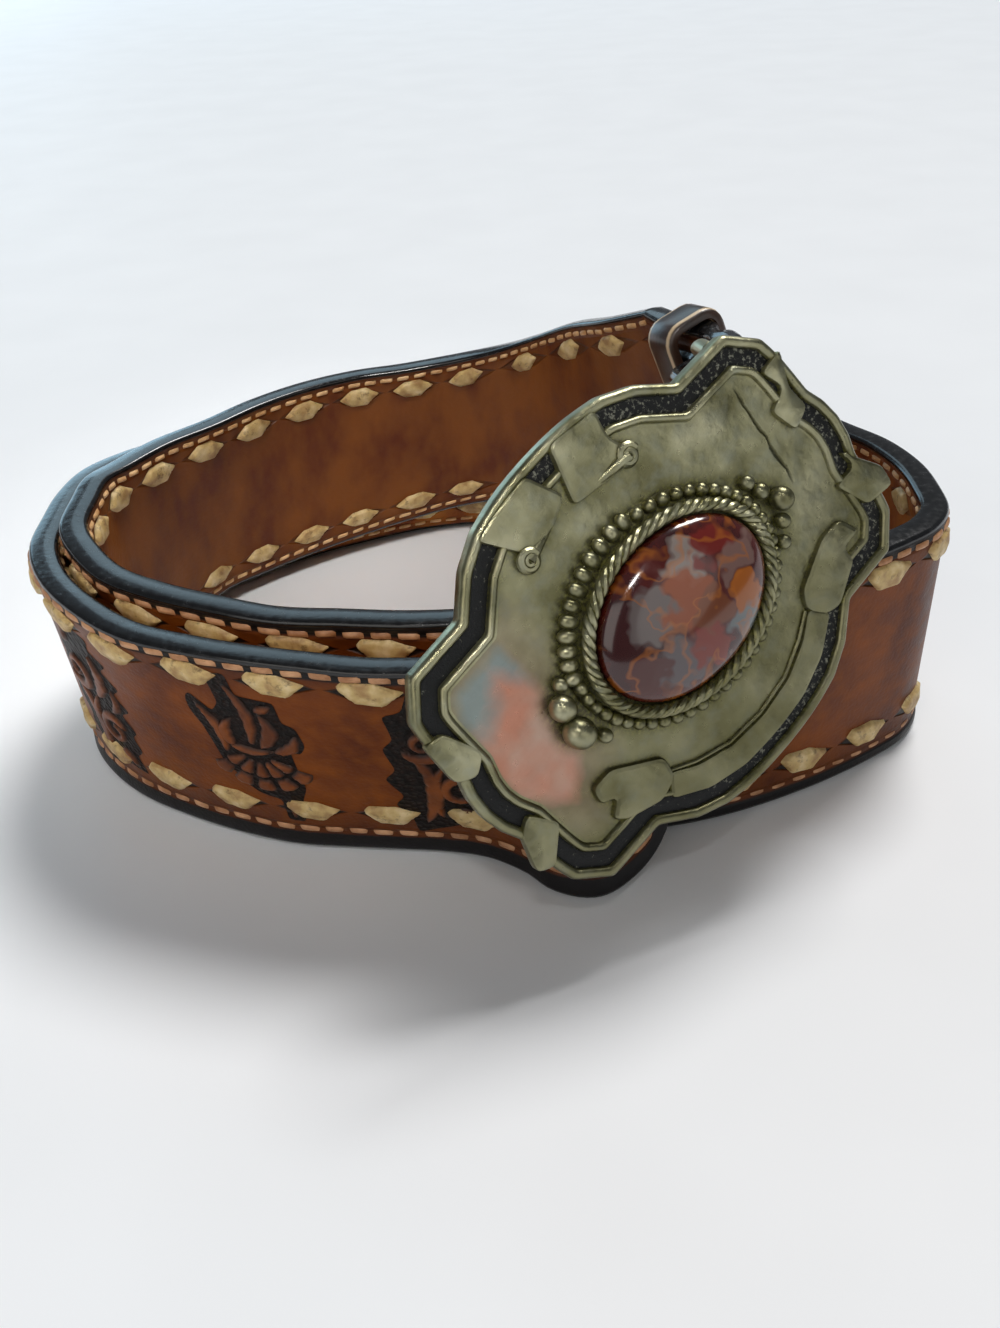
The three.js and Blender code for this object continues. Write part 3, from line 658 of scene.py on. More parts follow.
def strap_maps(tree):
    """The strap's maps in millimetres.

    They are the place on the hide, the distance from the edge, shifted so that the thread row lies
    at its own line, the distance from the lacing row, the count of lacing stitches and the plain
    distance from the edge.
    """
    hide, edge, lace = [add(tree, "UVMap", uv_map=name) for name in ("UVMap", "edge", "lace")]
    split = [add(tree, "SeparateXYZ", [layer]).node.outputs for layer in (edge, lace)]
    return hide, *split[0][:2], *split[1][:2]


def lacing_slit_cuts_and_shade(tree, count, across, pitch):
    """Pointed slits that reach past both ends of each lacing stitch: the cuts, and the shade painted
    into them.
    """
    shifted = add(tree, "Math", [count, 0.5], operation="ADD")
    part = add(tree, "Math", [shifted], operation="FRACT")
    middle = add(tree, "Math", [part, 0.5], operation="SUBTRACT")
    along = add(tree, "Math", [middle, pitch], operation="MULTIPLY")
    along = add(tree, "Math", [along], operation="ABSOLUTE")
    past = add(tree, "Math", [along, SLIT_TAPER_START], operation="SUBTRACT")
    past = add(tree, "Math", [past, 0.0], operation="MAXIMUM")
    off_row = add(tree, "Math", [across], operation="ABSOLUTE")
    reach = add(tree, "Math", [past, SLIT_TAPER, off_row], operation="MULTIPLY_ADD")
    return add(tree, "MapRange", [reach, SLIT_HALF_WIDTH, SLIT_HALF_WIDTH + SLIT_BLUR, 1.0, 0.0])


def leather_relief(tree, hide, grain, edge, slit_cuts_and_shade):
    """The hide's own grain, the groove pressed along the thread row and the slits, as one normal."""
    away = add(tree, "Math", [edge, THREAD_LINE], operation="SUBTRACT")
    away = add(tree, "Math", [away], operation="ABSOLUTE")
    groove = add(tree, "MapRange", [away, 0.25, 0.9])
    pores = add(tree, "TexVoronoi", {"Vector": hide, "Scale": 1 / grain})
    pebble = add(tree, "TexNoise", {"Vector": hide, "Scale": 1 / grain, "Detail": 5.0})
    skin = add(tree, "Math", [pores, 0.4, pebble], operation="MULTIPLY_ADD")
    normal = add(tree, "Bump", {"Height": skin, "Strength": 0.35, "Distance": 0.16 * MM})
    pressed = {"Height": groove, "Strength": 0.8, "Distance": 0.35 * MM, "Normal": normal}
    cut = {"Height": slit_cuts_and_shade, "Strength": 0.9, "Distance": 0.6 * MM}
    return add(tree, "Bump", {**cut, "Normal": add(tree, "Bump", pressed)}, invert=True)


# Vegetable-tanned cowhide, dyed saddle brown and rubbed with wax: warm, half glossy, darker
# towards its black-dyed border
def tanned_leather():
    material, tree = new_material("tooled_tanned_leather")
    hide, edge, across, count, rim = strap_maps(tree)
    cloud = add(tree, "TexNoise", {"Vector": hide, "Scale": 1 / 16.0, "Detail": 3.0})
    mottle = add(tree, "TexNoise", {"Vector": hide, "Scale": 1 / 3.0, "Detail": 5.0})
    rubbed = add(tree, "MapRange", [mottle, 0.42, 0.75, 0.0, 0.5])
    near = add(tree, "MapRange", [edge, BORDER_WIDTH, BORDER_WIDTH + 5.5, 0.6, 0.0])
    # The lacing slits are cuts in the hide; their near-black colour is painted shade
    slit_cuts_and_shade = lacing_slit_cuts_and_shade(tree, count, across, LACE_PITCH)
    # The black dye's line wanders by half a millimetre
    wander = add(tree, "TexNoise", {"Vector": hide, "Scale": 1 / 2.0, "Detail": 3.0})
    line = add(tree, "Math", [wander, 0.6, edge], operation="MULTIPLY_ADD")
    line = add(tree, "Math", [line, rim], operation="MINIMUM")
    border = add(tree, "MapRange", [line, BORDER_WIDTH + 0.05, BORDER_WIDTH + 0.5, 1.0, 0.0])
    dye = add(tree, "ValToRGB", [cloud], stops=[(0.36, "#552508"), (0.66, "#7a3d0d")])
    # The slits' colour #1a110c is painted shade inside the lacing cuts
    layers = ((rubbed, "#8f4d14"), (near, "#361a0b"), (slit_cuts_and_shade, "#1a110c"), (border, "#191718"))
    for share, code in layers:
        dye = add(tree, "Mix", {0: share, 6: dye, 7: code}, 2, data_type="RGBA")
    return finished(
        material,
        Base_Color=dye,
        Roughness=add(tree, "MapRange", [mottle, 0.3, 0.8, 0.34, 0.52]),
        Normal=leather_relief(tree, hide, 0.65, edge, slit_cuts_and_shade),
        Specular_IOR_Level=0.16,
        Coat_Weight=0.02,
        Coat_Roughness=0.25,
    )


# Lining of the same hide, worn smooth: lighter where it is rubbed, darker along the inner
# turn, with soft clouds drawn out across the strap
def lining_leather():
    material, tree = new_material("lining_leather")
    hide, edge, across, count, rim = strap_maps(tree)
    drawn = add(tree, "Mapping", {"Vector": hide, "Scale": (1.4, 0.7, 1.0)})
    cloud = add(tree, "TexNoise", {"Vector": drawn, "Scale": 1 / 13.0, "Detail": 3.0})
    mottle = add(tree, "TexNoise", {"Vector": drawn, "Scale": 1 / 4.5, "Detail": 5.0})
    rubbed = add(tree, "MapRange", [mottle, 0.42, 0.7, 0.0, 0.6])
    run = add(tree, "SeparateXYZ", [hide])
    # Darker along the run from 290 mm, fully so from 420 mm
    darker_stretch = add(tree, "MapRange", [run, 290.0, 420.0, 0.0, 0.62])
    near = add(tree, "MapRange", [rim, 0.8, 5.0, 0.55, 0.0])
    slit_cuts_and_shade = lacing_slit_cuts_and_shade(tree, count, across, LINING_LACE_PITCH)
    # Painted shadow: faint dark marks at both ends of each lacing stitch
    painted_slit_shadow = add(tree, "Math", [slit_cuts_and_shade, 0.4], operation="MULTIPLY")
    border = add(tree, "MapRange", [rim, 0.85, 1.25, 1.0, 0.0])
    dye = add(tree, "ValToRGB", [cloud], stops=[(0.38, "#783610"), (0.62, "#b3681f")])
    layers = (
        (rubbed, "#b06a2a"), (darker_stretch, "#4a2411"), (near, "#4b230c"), (painted_slit_shadow, "#22140c"),
        (border, "#1b1817"),
    )
    for share, code in layers:
        dye = add(tree, "Mix", {0: share, 6: dye, 7: code}, 2, data_type="RGBA")
    return finished(
        material,
        Base_Color=dye,
        Roughness=add(tree, "MapRange", [mottle, 0.3, 0.8, 0.4, 0.58]),
        Normal=leather_relief(tree, hide, 0.9, edge, slit_cuts_and_shade),
        Specular_IOR_Level=0.2,
    )


# Edge paint: thick black lacquer over the cut edge, glossy with small dull spots of dust
def edge_lacquer():
    material, tree = new_material("edge_lacquer")
    place = add(tree, "TexCoord", out=3)
    dust = add(tree, "TexNoise", {"Vector": place, "Scale": 1 / (1.1 * MM), "Detail": 5.0})
    wave = add(tree, "TexNoise", {"Vector": place, "Scale": 1 / (6.0 * MM), "Detail": 3.0})
    height = add(tree, "Math", [wave, 1.6, dust], operation="MULTIPLY_ADD")
    return finished(
        material,
        Base_Color=add(tree, "ValToRGB", [dust], stops=[(0.5, "#0b0b0c"), (0.78, "#1e1f20")]),
        Roughness=add(tree, "MapRange", [dust, 0.3, 0.75, 0.16, 0.3]),
        Normal=add(tree, "Bump", {"Height": height, "Strength": 0.35, "Distance": 0.14 * MM}),
        Specular_IOR_Level=0.35,
        Coat_Weight=0.35,
        Coat_Roughness=0.1,
    )


# Ground of the tooling: beaten down with a fine pear-shaped stamp and dyed nearly black. The
# stamp's dots are about 0.5 mm; they are drawn at 0.9 mm, so that they show
def stippled_ground():
    material, tree = new_material("stippled_ground")
    place = add(tree, "TexCoord", out=3)
    dots = add(tree, "TexVoronoi", {"Vector": place, "Scale": 1 / (0.9 * MM)})
    tint = add(tree, "TexNoise", {"Vector": place, "Scale": 1 / (3.3 * MM), "Detail": 4.0})
    dye = add(tree, "ValToRGB", [tint], stops=[(0.42, "#0e0a08"), (0.75, "#1e1410")])
    worn = add(tree, "MapRange", [dots, 0.0, 0.6, 0.35, 0.0])
    return finished(
        material,
        Base_Color=add(tree, "Mix", {0: worn, 6: dye, 7: "#331b10"}, 2, data_type="RGBA"),
        Roughness=0.5,
        Normal=add(tree, "Bump", {"Height": dots, "Strength": 0.9, "Distance": 0.35 * MM}),
        Specular_IOR_Level=0.15,
    )


# Carved leaves: the hide's own brown on their crowns, black dye lying in the cuts round them
def carved_leather():
    material, tree = new_material("carved_leather")
    place = add(tree, "TexCoord", out=3)
    away = add(tree, "SeparateXYZ", [add(tree, "UVMap", uv_map="UVMap")])
    tint = add(tree, "TexNoise", {"Vector": place, "Scale": 1 / (4.5 * MM), "Detail": 5.0})
    dye = add(tree, "ValToRGB", [tint], stops=[(0.35, "#57290b"), (0.7, "#854514")])
    cut = add(tree, "MapRange", [away, 0.05, 0.5, 0.9, 0.0])
    grain = add(tree, "TexNoise", {"Vector": place, "Scale": 1 / (0.65 * MM), "Detail": 4.0})
    return finished(
        material,
        Base_Color=add(tree, "Mix", {0: cut, 6: dye, 7: "#1d1410"}, 2, data_type="RGBA"),
        Roughness=0.42,
        Normal=add(tree, "Bump", {"Height": grain, "Strength": 0.35, "Distance": 0.14 * MM}),
        Specular_IOR_Level=0.25,
        Coat_Weight=0.05,
    )


# Rawhide lacing: cream and slightly horny, with tan clouds, and dirt caught in its pits
def rawhide():
    material, tree = new_material("rawhide_lace")
    place = add(tree, "TexCoord", out=3)
    cloud = add(tree, "TexNoise", {"Vector": place, "Scale": 1 / (2.6 * MM), "Detail": 5.0})
    ragged = {"Detail": 5.0, "Roughness": 0.68}
    pits = add(tree, "TexNoise", {"Vector": place, "Scale": 1 / (1.5 * MM), **ragged})
    creams = [(0.34, "#a17d4e"), (0.52, "#c6a970"), (0.7, "#dcc596")]
    cream = add(tree, "ValToRGB", [cloud], stops=creams)
    dirt = add(tree, "MapRange", [pits, 0.56, 0.68, 0.0, 0.7])
    return finished(
        material,
        Base_Color=add(tree, "Mix", {0: dirt, 6: cream, 7: "#5f4528"}, 2, data_type="RGBA"),
        Roughness=0.46,
        Normal=add(tree, "Bump", {"Height": pits, "Strength": 0.6, "Distance": 0.35 * MM}),
        Specular_IOR_Level=0.4,
        Subsurface_Weight=0.04,
        Subsurface_Radius=(0.001, 0.0006, 0.0003),
    )


# Waxed linen thread, 1 mm thick: tan outside and paler inside, with the roughness of its twist
def linen_thread(name, dark, pale):
    material, tree = new_material(name)
    place = add(tree, "TexCoord", out=3)
    tint = add(tree, "TexNoise", {"Vector": place, "Scale": 1 / (2.5 * MM), "Detail": 3.0})
    twist = add(tree, "TexNoise", {"Vector": place, "Scale": 1 / (0.4 * MM), "Detail": 2.0})
    return finished(
        material,
        Base_Color=add(tree, "ValToRGB", [tint], stops=[(0.35, dark), (0.7, pale)]),
        Roughness=0.46,
        Normal=add(tree, "Bump", {"Height": twist, "Strength": 0.6, "Distance": 0.12 * MM}),
        Specular_IOR_Level=0.4,
    )


LEATHER = tanned_leather()
LINING = lining_leather()
EDGE = edge_lacquer()
GROUND = stippled_ground()
CARVED = carved_leather()
RAWHIDE = rawhide()
THREAD = linen_thread("waxed_thread", "#986640", "#c99870")
INNER_THREAD = linen_thread("lining_thread", "#b98a58", "#e0b988")


# The strap: outer face, painted edges and lining
def face_rows(low, high):
    """Heights up the outer face, closer together near its lower rim."""
    return low + (high - low) * np.linspace(0, 1, FACE_STEPS) ** 1.3


def strap_section(half, width):
    """Points round the section, each with its side and its height above the lower edge."""
    corner = min(EDGE_ROUNDING, half * 0.8)
    turn = np.linspace(0, math.pi / 2, CORNER_STEPS + 1)[1:]
    flat = half - corner
    rest = EDGE_CROWN * np.array([0.6, 1.0, 0.6])
    out = np.concatenate(
        [
            np.full(FACE_STEPS, -half),
            -flat - corner * np.cos(turn),
            flat * np.array([-0.6, 0.0, 0.6]),
            flat + corner * np.sin(np.concatenate([[0], turn])),
            np.full(LINING_STEPS - 1, half),
            flat + corner * np.cos(turn),
            flat * np.array([0.6, 0.0, -0.6]),
            -flat - corner * np.sin(np.concatenate([[0], turn])),
        ]
    )
    inner = EDGE_CROWN
    top = width - inner
    high = np.concatenate(
        [
            face_rows(inner + corner, top - corner),
            top - corner + corner * np.sin(turn),
            top + rest,
            top - corner + corner * np.cos(np.concatenate([[0], turn])),
            np.linspace(top - corner, inner + corner, LINING_STEPS)[1:],
            inner + corner - corner * np.sin(turn),
            inner - rest,
            inner + corner - corner * np.cos(np.concatenate([[0], turn])),
        ]
    )
    # Thick edge paint swells the lower rim of the outer face
    swell = PAINT_SWELL * min(1.0, half / 2) * np.clip(1 - (high - 1.5) / 2.5, 0, 1) * (out < 0)
    return (out - swell)[:-1], high[:-1]


def build_strap():
    loops, tables, borders, counts = [], [], [], []
    top_column = FACE_STEPS + CORNER_STEPS + 1
    lining_from = top_column + 2 + CORNER_STEPS
    for k in range(len(strap.run)):
        out, high = strap_section(strap.half[k], strap.width[k])
        loops.append(strap.bottom[k] + high[:, None] * strap.up[k] + out[:, None] * strap.side[k])
        run = np.full(len(high), strap.run[k])
        tables.append(np.stack([run, high], 1))
        face = np.where(out > 0, 1, -1)
        upper = high > strap.width[k] / 2
        ends = min(strap.run[k], strap.length - strap.run[k]) + 0.6
        edge = np.minimum(np.minimum(high, strap.width[k] - high), ends)
        outer, inner = row_insets(run, -1, upper), row_insets(run, 1, upper)
        thread = np.where(face < 0, outer[0], inner[0])
        lace = np.where(face < 0, outer[1], inner[1])
        borders.append(np.stack([edge + THREAD_LINE - thread, edge - lace], 1))
        counts.append(np.stack([np.where(face < 0, lace_count(run, -1), lace_count(run, 1)), edge], 1))
    points, faces = loft(loops)
    column = np.tile(np.arange(len(loops[0])), len(loops) - 1)
    kind = np.full(len(column), 1)
    kind[column < FACE_STEPS - 1] = 0
    kind[(column >= lining_from) & (column < lining_from + LINING_STEPS - 1)] = 2
    kind = np.concatenate([kind, [1, 1]])
    thing = make_object(
        "tooled_strap",
        points,
        faces,
        [LEATHER, EDGE, LINING],
        kind,
        0,
        {
            "UVMap": np.concatenate(tables),
            "edge": np.concatenate(borders),
            "lace": np.concatenate(counts),
        },
    )
    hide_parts("belt_strap")
    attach(thing, "root")


# Outlines of a lacing stitch, along and up the strap from its middle
LACE_OUTER = [(-4.3, 1.0), (-3.2, 2.15), (0.9, 2.1), (4.6, 0.6), (1.9, -2.2), (-1.9, -1.9)]
LACE_INNER = [(-4.4, -0.1), (-1.7, 1.9), (1.5, 2.0), (4.4, 0.3), (1.8, -2.0), (-1.6, -2.0)]


def lace_template(outline):
    """One lacing stitch: a rounded, domed lobe that is a little uneven."""
    points, faces, away = filled(rounded(outline, 0.2, 2), 0.36)
    height = dome(away, 0.55, 0.75) + 0.16 * np.clip(away, 0, 2) - 0.12
    return points, faces, height + 0.08 * np.sin(points[:, 0] * 1.7)


def build_lacing():
    bag = Bag()
    shapes = {-1: lace_template(LACE_OUTER), 1: lace_template(LACE_INNER)}
    for face in (-1, 1):
        points, faces, height = shapes[face]
        steps = np.arange(0, strap.coil_run + ROWS_PAST_COIL, 0.25)
        counts = lace_count(steps, face)
        for number in range(math.ceil(counts[0]), math.floor(counts[-1]) + 1):
            run = np.interp(number, counts, steps)
            for upper in (False, True):
                here = run + rng.uniform(-0.3, 0.3)
                grow = rng.uniform(0.96, 1.05)
                lean = rng.uniform(-0.05, 0.05)
                x = (points[:, 0] * math.cos(lean) - points[:, 1] * math.sin(lean)) * grow
                y = (points[:, 0] * math.sin(lean) + points[:, 1] * math.cos(lean)) * grow
                width = strap.width_at(here)
                inset = float(row_insets(here, face, upper)[1])
                middle = width - inset if upper else inset
                bag.add(strap.at(here + x * face, middle + y, height, face), faces)
    thing = bag.make("edge_lacing", [RAWHIDE])
    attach(thing, "root")


def build_thread():
    grid = np.stack(np.meshgrid(np.linspace(-0.5, 0.5, 7), np.linspace(-0.5, 0.5, 5)), -1)
    grid = grid.reshape(-1, 2)
    arch, across = np.sqrt(np.clip(1 - (2 * grid) ** 2, 0, 1)).T
    height = arch**0.6 * across * 0.5 - 0.08
    faces = [
        (r * 7 + c, r * 7 + c + 1, (r + 1) * 7 + c + 1, (r + 1) * 7 + c)
        for r in range(4)
        for c in range(6)
    ]
    # Face, name, material, pitch, and a stitch's length and width
    rows = (
        (-1, "outer_thread", THREAD, THREAD_PITCH, 3.2, 1.25),
        (1, "inner_thread", INNER_THREAD, LINING_THREAD_PITCH, 2.7, 1.0),
    )
    for face, name, material, pitch, length, wide in rows:
        bag = Bag()
        for run in np.arange(THREAD_START, strap.coil_run + ROWS_PAST_COIL, pitch):
            width = strap.width_at(run)
            for upper in (False, True):
                lean = rng.uniform(-0.10, 0.02) * (1 if upper else -1)
                x = grid[:, 0] * length * rng.uniform(0.93, 1.03)
                y = grid[:, 1] * wide + x * lean
                inset = float(row_insets(run, face, upper)[0]) + rng.uniform(-0.08, 0.08)
                middle = width - inset if upper else inset
                bag.add(strap.at(run + x, middle + y, height, face), faces)
        thing = bag.make(name, [material])
        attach(thing, "root")


# Tooled motifs: leaves, scrolls and a small palmette on dark, stippled grounds
def strip(spine, half):
    """Outline of a strip with its half width at each point of its spine."""
    tangent = unit(np.gradient(spine, axis=0))
    normal = np.stack([-tangent[:, 1], tangent[:, 0]], 1)
    return np.concatenate([spine + normal * half[:, None], (spine - normal * half[:, None])[::-1]])


def leaf(start, end, bend, width, teeth=0, depth=0.2):
    start, end = vec(*start), vec(*end)
    along = end - start
    across = vec(-along[1], along[0])
    shares = np.linspace(0, 1, 23)
    spine = start + along * shares[:, None] + across * (bend * np.sin(math.pi * shares))[:, None]
    half = width * np.sin(math.pi * shares**0.8) ** 0.9 + 0.08
    if teeth:
        half = half * (1 + depth * np.abs(np.sin(math.pi * teeth * shares)) - depth)
    return strip(spine, half)


def sector(inner, outer, start, end, bulge):
    """A petal of the palmette between two radii and two angles."""
    angles = np.radians(np.linspace(start, end, 7))
    middle = (angles[0] + angles[-1]) / 2
    span = (angles[-1] - angles[0]) / 2
    far = outer + bulge * np.cos((angles - middle) / span * math.pi / 2)
    head = np.stack([np.cos(angles) * far, np.sin(angles) * far], 1)
    narrow = middle + (angles - middle) * 0.8
    foot = np.stack([np.cos(narrow) * inner, np.sin(narrow) * inner], 1)
    return PALMETTE_MIDDLE + np.concatenate([head, foot[::-1]])


def scroll(centre, size, start, turns, width):
    """A leaf that curls into a spiral."""
    shares = np.linspace(0, 1, 31)
    angle = math.radians(start) + 2 * math.pi * turns * shares
    reach = size * (1 - 0.8 * shares)
    spine = vec(*centre) + np.stack([np.cos(angle) * reach, np.sin(angle) * reach], 1)
    half = width * (1 - 0.7 * shares) * np.minimum(1, shares / 0.12) ** 0.5 + 0.06
    return strip(spine, half)


# Places are millimetres from the motif's middle, against the strap's run and up. A leaf's row is
# root, tip, bend, half width, count of teeth and their depth
PALMETTE_MIDDLE = vec(0.6, 0.2)
PALMETTE_LEAVES = [
    ((-4.2, -1.0), (-6.9, 9.2), -0.12, 1.0, 4),
    ((-2.4, 0.8), (-1.6, 7.0), 0.22, 1.2, 3),
    ((0.2, 1.2), (-1.6, 14.6), -0.12, 1.0, 5),
    ((1.6, 1.2), (2.6, 8.8), -0.2, 1.3, 3),
    ((3.4, 0.6), (7.2, 5.0), -0.2, 1.1, 3),
    ((2.2, 9.4), (4.8, 10.6), -0.1, 0.8),
    ((3.4, -10.2), (3.4, -15.0), 0.1, 0.8, 2),
    ((-3.4, 1.2), (3.6, 0.8), -0.12, 0.8),
]
SCROLL_LEAVES = [
    ((-3.4, -14.2), (-5.2, 3.6), -0.16, 1.5, 6, 0.25),
    ((-0.6, -12.8), (1.4, 1.2), 0.16, 1.2, 5, 0.25),
    ((1.6, 0.4), (3.6, 10.4), -0.16, 1.4, 4, 0.25),
    ((-2.6, 9.2), (0.4, 15.6), 0.2, 1.3, 3),
    ((4.0, -1.6), (6.0, 4.4), -0.2, 0.9, 2),
    ((1.6, -10.4), (4.6, -13.6), 0.16, 0.9, 2),
]
PALMETTE_GROUND = [
    (-7.2, 11.0), (-4.3, 7.8), (-2.9, 9.8), (-3.6, 15.8), (-0.4, 16.2), (0.2, 12.0), (5.4, 11.4),
    (5.8, 7.2), (7.5, 6.5), (8.3, 2.6), (7.2, 0.6), (5.8, 1.2), (6.1, -3.0), (6.6, -7.3),
    (5.5, -10.4), (5.0, -15.6), (2.3, -15.4), (2.2, -10.6), (-1.0, -9.8), (-2.9, -8.1),
    (-5.6, -3.1), (-6.8, 3.7), (-8.1, 7.0), (-8.1, 9.8),
]
SCROLL_GROUND = [
    (-3.0, 17.0), (1.8, 17.2), (1.4, 14.4), (5.4, 13.6), (4.4, 11.2), (7.8, 9.6), (5.6, 7.8),
    (8.6, 5.2), (6.4, 3.4), (8.8, 0.6), (6.2, -1.0), (8.2, -4.4), (6.6, -5.6), (7.4, -9.0),
    (5.4, -10.6), (6.4, -14.6), (2.2, -14.0), (-1.4, -15.4), (-5.0, -16.6), (-5.6, -12.4),
    (-7.8, -9.8), (-6.2, -7.6), (-8.6, -3.6), (-6.8, -1.4), (-8.2, 3.4), (-6.4, 5.6), (-7.4, 10.6),
    (-4.6, 11.6),
]
# Running lengths of the motifs from the tip, scrolls first and then in turn
MOTIF_RUNS = (33.0, 60.5, 91.0, 120.0, 149.0, 178.0, 207.0, 236.0, 265.0)
MOTIF_LIFT = 1.0


def palmette_shapes():
    shapes = []
    for k in range(5):
        shapes.append(sector(2.4, 5.6, 202 + k * 27, 226 + k * 27, 0.4))
        shapes.append(sector(6.3, 8.6, 206 + k * 26, 228 + k * 26, 0.5))
    return shapes + [leaf(*row) for row in PALMETTE_LEAVES]


def scroll_shapes():
    pair = [scroll((-2.2, 4.4), 3.6, 200, 1.35, 1.15), scroll((2.4, -6.2), 3.4, 20, 1.3, 1.1)]
    return pair + [leaf(*row) for row in SCROLL_LEAVES]


def build_tooling():
    ground, relief = Bag(), Bag()
    motifs = ((SCROLL_GROUND, scroll_shapes()), (PALMETTE_GROUND, palmette_shapes()))
    for number, run in enumerate(MOTIF_RUNS):
        jagged, shapes = motifs[number % 2]
        middle = strap.width_at(run) / 2 + MOTIF_LIFT
        points, faces = filled(rounded(jagged[::-1], 0.7, 2), 0.8)[:2]
        sink = 0.05 + 0.03 * np.sin(points[:, 0] * 2.1) * np.sin(points[:, 1] * 1.7)
        ground.add(strap.at(run - points[:, 0], middle + points[:, 1], sink, -1), faces)
        for outline in shapes:
            points, faces, away = filled(outline, 0.4)
            height = dome(away, 0.8, 0.5) + 0.05
            placed = strap.at(run - points[:, 0], middle + points[:, 1], height, -1)
            relief.add(placed, faces, np.stack([away, away], 1))
    parts = ((ground, "tooled_ground", GROUND), (relief, "tooled_relief", CARVED))
    for bag, name, material in parts:
        thing = bag.make(name, [material])
        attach(thing, "root")


build_strap()
build_lacing()
build_thread()
build_tooling()


# Keeper: a ring of dark waxed leather, with a pale highlight painted along each rim
KEEPER_CORNER = 1.6
KEEPER_RIM_HIGHLIGHT = 2.7


def keeper_leather():
    material, tree = new_material("keeper_leather")
    place = add(tree, "TexCoord", out=3)
    tint = add(tree, "TexNoise", {"Vector": place, "Scale": 1 / (7.0 * MM), "Detail": 4.0})
    dye = add(tree, "ValToRGB", [tint], stops=[(0.35, "#241a14"), (0.7, "#42291d")])
    along = add(tree, "SeparateXYZ", [add(tree, "UVMap", uv_map="UVMap")])
    along = add(tree, "Math", [along], operation="ABSOLUTE")
    along = add(tree, "Math", [along, KEEPER_RIM_HIGHLIGHT], operation="SUBTRACT")
    along = add(tree, "Math", [along], operation="ABSOLUTE")
    # Painted highlight: a pale band where each rounded rim would catch the light
    line = add(tree, "MapRange", [along, 0.15, 0.45, 0.9, 0.0])
    grain = add(tree, "TexNoise", {"Vector": place, "Scale": 1 / (0.7 * MM), "Detail": 4.0})
    return finished(
        material,
        Base_Color=add(tree, "Mix", {0: line, 6: dye, 7: "#cdb592"}, 2, data_type="RGBA"),
        Roughness=0.34,
        Normal=add(tree, "Bump", {"Height": grain, "Strength": 0.3, "Distance": 0.12 * MM}),
        Coat_Weight=0.25,
        Coat_Roughness=0.25,
    )


def build_keeper():
    centre, along, up, across = keeper_frame
    low = return_side - FOLD_THICKNESS / 2 - RUNNING_GAP
    high = thickness_at_keeper / 2 + RUNNING_GAP
    straight_side = (high - low) / 2 - KEEPER_CORNER
    straight_up = width_at_keeper / 2 + RUNNING_GAP - KEEPER_CORNER
    middle = (high + low) / 2
    end, thick = KEEPER_LENGTH / 2, KEEPER_THICKNESS
    # The wall's section with rounded rims: how far out, and how far along
    rim = [(0.1, end), (thick / 2, end), (thick - 0.2, end - 0.35), (thick, end - 0.9)]
    section = [(out, -travel) for out, travel in rim] + [(thick, 0.0)] + rim[::-1]
    loops, tables = [], []
    for out, travel in section + [(0.0, end - 0.3), (0.0, 0.3 - end)]:
        loop = []
        for quarter, (side_way, up_way) in enumerate(((1, 1), (-1, 1), (-1, -1), (1, -1))):
            for step in np.linspace(0, 1, 6):
                angle = (quarter + step) * math.pi / 2
                side = side_way * straight_side + math.cos(angle) * (KEEPER_CORNER + out)
                lift = up_way * straight_up + math.sin(angle) * (KEEPER_CORNER + out)
                loop.append(centre + along * travel + across * (middle + side) + up * lift)
        loops.append(np.array(loop))
        tables.append(np.tile([travel, out], (len(loop), 1)))
    points, faces = loft(loops, True)
    maps = {"UVMap": np.concatenate(tables)}
    thing = make_object("keeper_ring", points, faces, [keeper_leather()], crease=40, uvs=maps)
    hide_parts("keeper_loop")
    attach(thing, "root")


build_keeper()


# Plate outline from its right end to its top, as shares of the plate's half sizes
OUTLINE_QUARTER = [
    (1, 0), (0.989, 0.113), (0.962, 0.212), (0.957, 0.438), (0.938, 0.562), (0.827, 0.717),
    (0.575, 0.724), (0.45, 0.866), (0.325, 0.947), (0.176, 0.989),
]


def plate_outline():
    quarter = [(u * PLATE_HALF_LENGTH, v * PLATE_HALF_HEIGHT) for u, v in OUTLINE_QUARTER]
    upper = quarter + [(0, PLATE_HALF_HEIGHT)] + [(-u, v) for u, v in reversed(quarter)]
    return np.array(upper + [(-u, -v) for u, v in upper[1:-1]])


def inset(outline, distance):
    """Moves every side of an outline inwards by the same distance."""
    before = unit(outline - np.roll(outline, 1, axis=0))
    after = unit(np.roll(outline, -1, axis=0) - outline)
    first = np.stack([-before[:, 1], before[:, 0]], 1)
    second = np.stack([-after[:, 1], after[:, 0]], 1)
    middle = unit(first + second)
    return outline + middle * (distance / (middle * first).sum(1))[:, None]


def at_height(outline, height):
    return np.column_stack([outline, np.broadcast_to(height, len(outline))])


